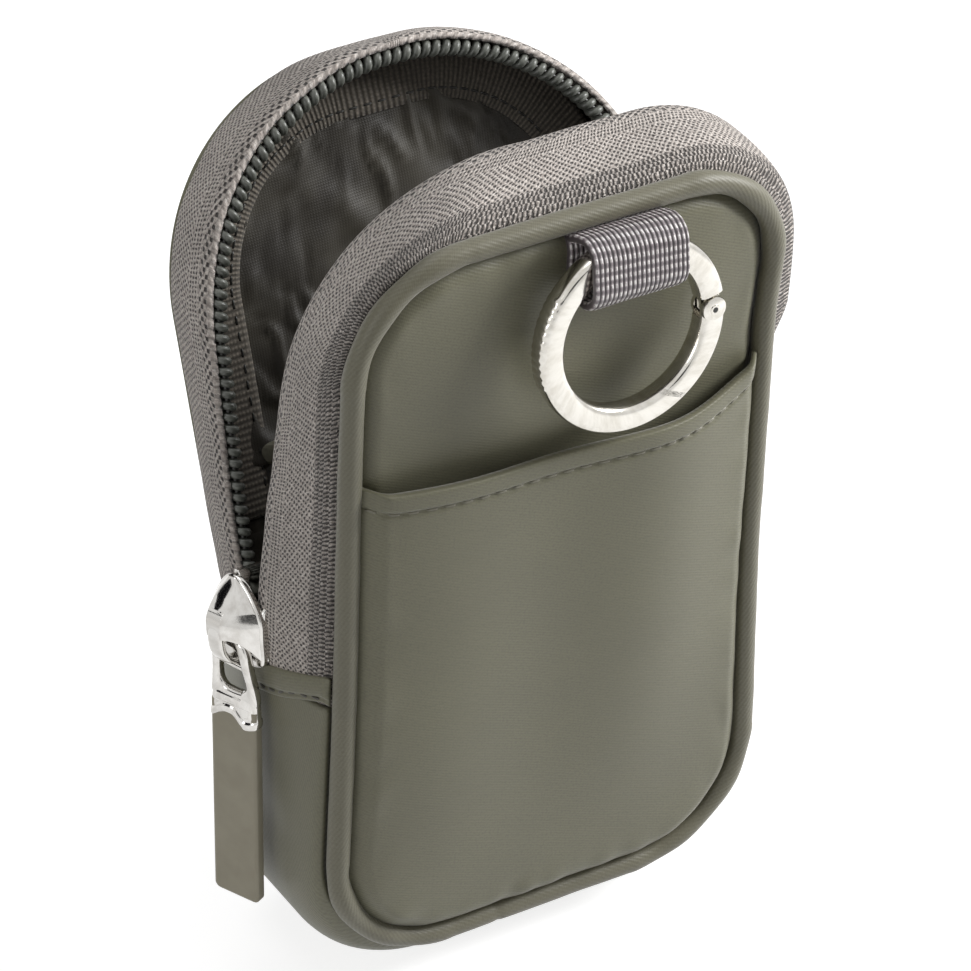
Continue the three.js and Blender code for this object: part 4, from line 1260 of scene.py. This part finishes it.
def addLink(mesh):
    # a rounded metal frame between two matching loops, with a bridge bar
    x, eye = pullCut["x"], pullCut["eyeZ"]
    outerSide = [
        (1.4, eye + 1.05), (2.8, eye + 0.6), (3.55, eye - 0.9), (3.6, eye - 2.8), (3.65, eye - 4.8),
        (3.85, 52.0), (3.95, 49.6), (2.4, 49.2),
    ]
    innerSide = [
        (0.9, eye - 0.7), (1.7, eye - 1.1), (2.0, eye - 2.3), (2.15, eye - 3.6), (2.3, eye - 5.0),
        (2.2, 52.4), (1.5, 51.4), (0.7, 51.2),
    ]
    outer, inner = smoothLoop(mirrored(outerSide), 100), smoothLoop(mirrored(innerSide), 100)
    a = circle(14)
    middle, reach = (outer + inner) / 2, (outer - inner) / 2
    y, z = np.moveaxis(middle[:, None] + reach[:, None] * squared(np.cos(a), 0.5)[None, :, None], -1, 0)
    ring = spread(x + pullCut["bar"] * squared(np.sin(a), 0.6), y, z)
    mesh.tube(ring, uvGrid(np.linspace(0, 6, len(a) + 1), alongOf(middle, True)), closed=True)
    bridge = pullCut["bridgeZ"]
    path = np.array([[x, -2.6, bridge + 0.1], [x, 0, bridge], [x, 2.6, bridge + 0.1]])
    roundTube(mesh, path, pullCut["bridge"], (0, 0, 1), 12)


def capEdge(side):
    # height of the cap's lower edge over its foot; side runs from -1 at the rear to 1 at the front
    arch = pullCut["arch"] * ramp(side, -1.1, 0.9) * (1 - ramp(side, -0.05, 0.6))
    return arch + 0.4 * ramp(side, 0.5, 0.5)


def addCap(mesh):
    # a flat crimped sleeve whose lower edge runs in a slow curve
    face = np.sin(np.linspace(-pi / 2, pi / 2, 44))
    across = np.concatenate([face, face[-2:0:-1]])
    n = len(across)
    deep = np.clip(1 - np.abs(across) ** 7, 0, 1) ** 0.4 * np.where(np.arange(n) < len(face), -1, 1)
    h, lip, top = pullCut["capHalf"], pullCut["lip"], pullCut["capTop"]
    low = pullCut["capLow"] + capEdge(-across)
    # half width, half depth and height of each ring, from the top over the lip and up inside
    profile = [
        (h - 0.9, 0.4, top), (h - 0.35, 0.75, top - 0.15), (h - 0.15, 1.04, mixed(low + 1.9, top, 0.6)),
        (h - 0.1, 1.06, low + 1.9), (h - 0.06, 1.0, low + 1.55), (h - 0.04, 1.0, low + 1.4),
        (h + 0.05, lip - 0.08, low + 1.15), (h + 0.08, lip, low + 0.9), (h + 0.08, lip, low + 0.25),
        (h, lip - 0.1, low), (h - 0.18, lip - 0.28, low), (h - 0.2, lip - 0.3, low + 0.4),
        (h - 0.2, lip - 0.3, pullCut["tabTop"] + 0.3),
    ]
    sections = np.stack([spread(pullCut["x"] + d * deep, w * across, z) for w, d, z in profile])
    mesh.tube(sections, uvGrid(np.linspace(0, 30, n + 1), np.arange(len(profile)) * 0.6))


def tabLoop(grow):
    low, q, c = pullCut["tabLow"] + grow, pullCut["tabHalf"] - grow, pullCut["tabCorner"] - 0.4 * grow
    a = np.linspace(0, pi / 2, 8)
    corner = np.c_[q - c + c * np.cos(a), low + c - c * np.sin(a)]
    side = np.c_[np.full(40, q), np.linspace(pullCut["tabTop"], low + c, 40)][:-1]
    lower = np.c_[np.linspace(q - c, -q + c, 20)[1:-1], np.full(18, low)]
    return np.concatenate([side, corner, lower, corner[::-1] * [-1, 1], side[::-1] * [-1, 1]])


def addTab(mesh):
    # rubber tab with broad chamfers
    t = pullCut["tabThick"] / 2
    half = [(t, 0.5), (t - 0.02, 0.42), (t - 0.24, 0.07), (t - 0.36, 0.0)]
    steps = [(-dx, grow) for dx, grow in half] + half[::-1]
    sections = np.stack([spread(pullCut["x"] + dx, *tabLoop(grow).T) for dx, grow in steps])
    mesh.grid(sections, uvGrid(alongOf(sections[3], True), [dx * 2 for dx, _ in steps]), wrapCols=True)
    for ring in (sections[0], sections[-1]):
        count = len(ring) // 2
        face = mixed(ring[:count], ring[::-1][:count], np.linspace(0, 1, 9)[:, None, None])
        mesh.grid(face, face[..., 1:])


def makePull():
    for fill, name, look, slot, node, sharp in (
        (addLink, "pullLink", "slider", "slider_metal", "pull_link", 50),
        (addCap, "pullCap", "slider", "slider_metal", "pull_cap", 50),
        (addTab, "pullTab", "rubber", "moulded", "pull_tab", 42),
    ):
        mesh = PieceMesh()
        fill(mesh)
        mesh.move(hungPull)
        mesh.finished(name, [look], [node], "pull", sharp)


makePull()
print("slider and pull made")

# Ring plane: across, up and towards the front
ringCut = {
    "top": (5.1, -20.48, 122.8), "tilt": -5.0, "radius": 13.2, "radial": 1.95, "axial": 1.75,
    "pin": 1.0, "end": -59.0, "cut": 246.0, "gap": 0.4, "knuckleGap": 0.35,
    "tongue": 0.55, "tongueHalf": 1.5, "slot": 0.85,
    "bead": 0.22, "beadPitch": 1.1, "beadsFrom": 142, "beadsTo": 200,
}
# radius and height over the ring's face of the gate's dimpled rivet and its thin collar
rivetSide = [
    (0.22, 0.0), (0.5, 0.1), (0.68, 0.12), (0.78, 0.06), (0.8, -0.02),
    (1.12, -0.02), (1.2, -0.06), (1.22, -0.16), (0.7, -0.2),
]
tilt, pin = math.radians(ringCut["tilt"]), math.radians(ringCut["pin"])
ringUp = np.array([0, -math.sin(tilt), math.cos(tilt)])
ringFront = np.array([0, -math.cos(tilt), -math.sin(tilt)])
ringMiddle = np.array(ringCut["top"]) - ringCut["radius"] * ringUp


def inRing(*place):
    return ringMiddle + spread(*place) @ np.array([[1.0, 0, 0], ringUp, ringFront])


def noseAngle(r, side):
    # where the slanted cut at the gate's nose crosses a circle of radius r
    n = math.radians(ringCut["cut"])
    reach = ringCut["radius"] * math.cos(math.radians(ringCut["end"]) - n) - side * ringCut["gap"]
    return n + np.arccos(np.clip(reach / r, -1, 1))


def ringBar(start, end, steps, half, name, knurl=None, shape=None, sharp=None):
    # a rounded bar with a flattish face; start and end are angles, or functions of the radius
    a = circle(36)
    u, w = shape or (squared(np.cos(a), 0.55), squared(np.sin(a), 0.55))
    r = ringCut["radius"] + u * half[0]
    first, last = (at(r) if callable(at) else np.full_like(r, at) for at in (start, end))
    t = np.linspace(0, 1, steps)
    angle = mixed(first, last, t[:, None])
    if knurl:
        r = r + knurl(angle, u)
    long = float(np.abs(last - first).mean()) * ringCut["radius"]
    mesh = PieceMesh()
    sections = inRing(r * np.cos(angle), r * np.sin(angle), w * half[1])
    mesh.tube(sections, uvGrid(np.linspace(0, 11, len(u) + 1), t * long))
    return mesh.build(name, ["ring"], sharp)


def addDisc(mesh, profile, sides, kind=0):
    # a turned piece about the gate's pin: profile holds (radius, height) pairs
    q = circle(sides)
    a, b = ringCut["radius"] * math.cos(pin), ringCut["radius"] * math.sin(pin)
    rings = np.stack([inRing(a + r * np.cos(q), b + r * np.sin(q), c) for r, c in profile])
    mesh.tube(rings, uvGrid(np.linspace(0, 6, sides + 1), np.arange(len(profile)) * 0.4), kind=kind)


def discPiece(name, profile, sides=40):
    mesh = PieceMesh()
    addDisc(mesh, profile, sides)
    return mesh.build(name, ["ring"])


def joined(pieces, name, subtract=()):
    # unites closed meshes into one clean body
    base = pieces[0]
    for other, way in [(p, "UNION") for p in pieces[1:]] + [(p, "DIFFERENCE") for p in subtract]:
        step = base.modifiers.new("join", "BOOLEAN")
        step.operation, step.object, step.solver = way, other, "EXACT"
        bpy.context.view_layer.update()
        graph = bpy.context.evaluated_depsgraph_get()
        mesh = bpy.data.meshes.new_from_object(base.evaluated_get(graph), depsgraph=graph)
        base.modifiers.clear()
        old = base.data
        base.data = mesh
        bpy.data.meshes.remove(old)
        bpy.data.objects.remove(other)
    base.name = name
    base.data.name = name
    smoothed(base.data, 32)
    return base


def beads(angle, u):
    # fine beads on the outer edge of the ring's left side
    d = np.degrees(angle)
    zone = ramp(d, ringCut["beadsFrom"], 3) * smoothStep((ringCut["beadsTo"] - d) / 3) * np.clip(u, 0, 1) ** 3
    return zone * ringCut["bead"] * np.abs(np.sin(angle * ringCut["radius"] * pi / ringCut["beadPitch"]))


def makeRing():
    r, c, wide, thin, slot = (ringCut[k] for k in ("radial", "axial", "tongueHalf", "tongue", "slot"))
    knuckle = r + ringCut["knuckleGap"]
    start = pin + knuckle / ringCut["radius"]
    body = ringBar(start, lambda at: noseAngle(at, 1), 260, (r, c), "ringBody", beads, sharp=40)
    corners = (np.array([1, 1, -1, -1.0]), np.array([1, -1, -1, 1.0]))
    tongue = ringBar(pin, start + math.radians(2), 8, (wide, thin), "tongue", shape=corners)
    eye = discPiece("tongueEye", [(wide, -thin), (wide, thin)])
    finishPiece(joined([body, tongue, eye], "ringBody"), ["ring_body"], "ring")

    gate = ringBar(lambda at: noseAngle(at, -1) - 2 * pi, pin, 90, (r, c), "ringGate", sharp=40)
    side = [(r - 0.35, c), (r - 0.1, c - 0.12), (r, c - 0.4)]
    eye = discPiece("gateEye", [(q, -h) for q, h in side] + side[::-1])
    gap = discPiece("gateSlot", [(knuckle, -slot), (knuckle, slot)], 48)
    finishPiece(joined([gate, eye], "ringGate", [gap]), ["ring_gate"], "gate")

    mesh = PieceMesh()
    addDisc(mesh, [(q, c + h) for q, h in rivetSide] + [(q, -c - h) for q, h in rivetSide[::-1]], 32)
    # painted shade: a small near-black disc sits in the rivet's dimple
    addDisc(mesh, [(0.42, c - 0.1), (0.42, c + 0.08)], 24, kind=1)
    mesh.finished("gatePin", ["ring", "cordAndShade"], ["gate_pin"], "ring", 40)


makeRing()

# Webbing loop round the ring's bar, with its lengthwise ribs
webCut = {
    "middle": 5.2, "half": 7.8, "back": -16.23, "radius": 4.1, "drop": 13.0, "barRadius": 2.1, "seam": 4.4,
    "thick": 1.3, "ribs": 21, "ribDeep": 0.2, "turn": 1.3, "slant": 0.35,
    "tail": [(-17.95, 124.9), (-16.8, 124.1), (-15.8, 124.0)],
}


def webPath():
    # the middle of the folded webbing in the y-z plane, from the seam round the bar and back
    radius, middle, seam = webCut["radius"], webCut["thick"] / 2, pouch["top"] - webCut["seam"]
    low = pouch["top"] - webCut["drop"] + radius
    path = np.concatenate([
        [[-15.8, seam + 0.6], [webCut["back"] - middle, seam - 1.0]],
        arcRun(webCut["back"] - radius, low, radius - middle, 360, 180, 40)[0],
        arcRun(*ringCut["top"][1:], webCut["barRadius"] + middle, 180, 60, 30)[0],
        webCut["tail"],
    ])
    s = alongOf(path)
    return softened(resampled(path, s, np.linspace(0, s[-1], 150)), 8)


def makeLoop():
    path = webPath()
    n = sideways(unit(np.gradient(path, axis=0)))
    length = alongOf(path)
    u = np.linspace(-1, 1, webCut["ribs"] * 8 + 1)
    across = (u + 1) / 2 * webCut["ribs"]
    rib = np.abs(np.sin(across * pi)) ** 0.6
    phase = 2 * pi * (length[:, None] / webCut["turn"]) + webCut["slant"] * np.floor(across)
    relief = webCut["ribDeep"] * (rib * (0.72 + 0.28 * (0.5 + 0.5 * np.cos(phase))) - 0.6)
    off = (webCut["thick"] / 2 + relief) * np.sqrt(np.clip(1 - np.abs(u) ** 22, 0, 1))

    def layer(sign):
        yz = path[:, None] + n[:, None] * (sign * off)[..., None]
        return spread(webCut["middle"] + u * webCut["half"], yz[..., 0], yz[..., 1])
    uv = uvGrid(across, length)
    piece = sewnSheet("webbingLoop", "webbing", ["webbing_loop"], layer(1), layer(-1), uv, None)
    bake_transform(piece)


makeLoop()
print("ring and loop made")

# Floor, world and lamps
stageCut = {"floor": 3.0, "floorZ": -0.0002, "fill": 0.19, "glow": 0.8, "target": (0, 0, 0.06)}
lamps = {
    "keyLamp": {"place": (0.52, -0.19, 0.4), "size": 0.28, "power": 5.0},
    "topLamp": {"place": (-0.1, 0.35, 1.3), "size": 0.8, "power": 4.0},
    "leftLamp": {"place": (-1.1, -0.35, 0.5), "size": 0.6, "power": 2.5},
}
cards = {
    "rearCard": {"place": (-0.4, 1.1, 0.65), "wide": 1.8, "tall": 0.6},
    "leftCard": {"place": (-1.2, 0.2, 0.3), "wide": 0.4, "tall": 0.5},
    "frontCard": {"place": (-0.2, -1.3, 0.5), "wide": 0.5, "tall": 0.5},
}


def aimed(thing, place):
    # sets a lamp or card up so that it faces the pouch
    thing.location = place
    thing.rotation_mode = "QUATERNION"
    thing.rotation_quaternion = (Vector(stageCut["target"]) - Vector(place)).to_track_quat("-Z", "Y")


def seenBy(tree, *kinds):
    # 1 for rays of these kinds
    rays = addNode(tree, "LightPath")
    total = 0.0
    for kind in kinds:
        values = [(0, total), (1, rays.outputs["Is " + kind + " Ray"])]
        total = addNode(tree, "Math", values, operation="ADD").outputs[0]
    return total


def flatPlate(name, w, h, z, look):
    data = bpy.data.meshes.new(name)
    data.from_pydata([(-w, -h, z), (w, -h, z), (w, h, z), (-w, h, z)], [], [(0, 1, 2, 3)])
    data.materials.append(look)
    return placed(name, data)


def makeStage():
    scene = bpy.context.scene
    scene.view_settings.view_transform = "Standard"
    scene.world = bpy.data.worlds.new("studio")
    scene.world.use_nodes = True
    tree = scene.world.node_tree
    seen = seenBy(tree, "Camera", "Glossy", "Transmission")
    level = addNode(tree, "MapRange", [(0, seen), (3, stageCut["fill"]), (4, 1.0)]).outputs[0]
    feed(tree, tree.nodes["Background"], [("Strength", level), ("Color", (1, 1, 1, 1))])

    floor = Look("paleFloor", Base_Color=(0.5, 0.5, 0.5, 1), Roughness=0.9, Specular_IOR_Level=0.1)
    glow = floor.times(seenBy(floor.tree, "Camera", "Glossy"), stageCut["glow"])
    feed(floor.tree, floor.shader, [("Emission Color", (1, 1, 1, 1)), ("Emission Strength", glow)])
    size = stageCut["floor"]
    flatPlate("floor", size, size, stageCut["floorZ"], floor.look)

    for name, cut in lamps.items():
        light = bpy.data.lights.new(name, "AREA")
        light.shape, light.size, light.energy = "DISK", cut["size"], cut["power"]
        aimed(placed(name, light), cut["place"])
    # dark cards that only polished metal sees
    dark = Look("darkCard", Base_Color=(0.02, 0.02, 0.022, 1), Specular_IOR_Level=0.0)
    for name, cut in cards.items():
        card = flatPlate(name, cut["wide"] / 2, cut["tall"] / 2, 0, dark.look)
        aimed(card, cut["place"])
        card.visible_camera = card.visible_diffuse = card.visible_shadow = False


makeStage()
print("stage lit")
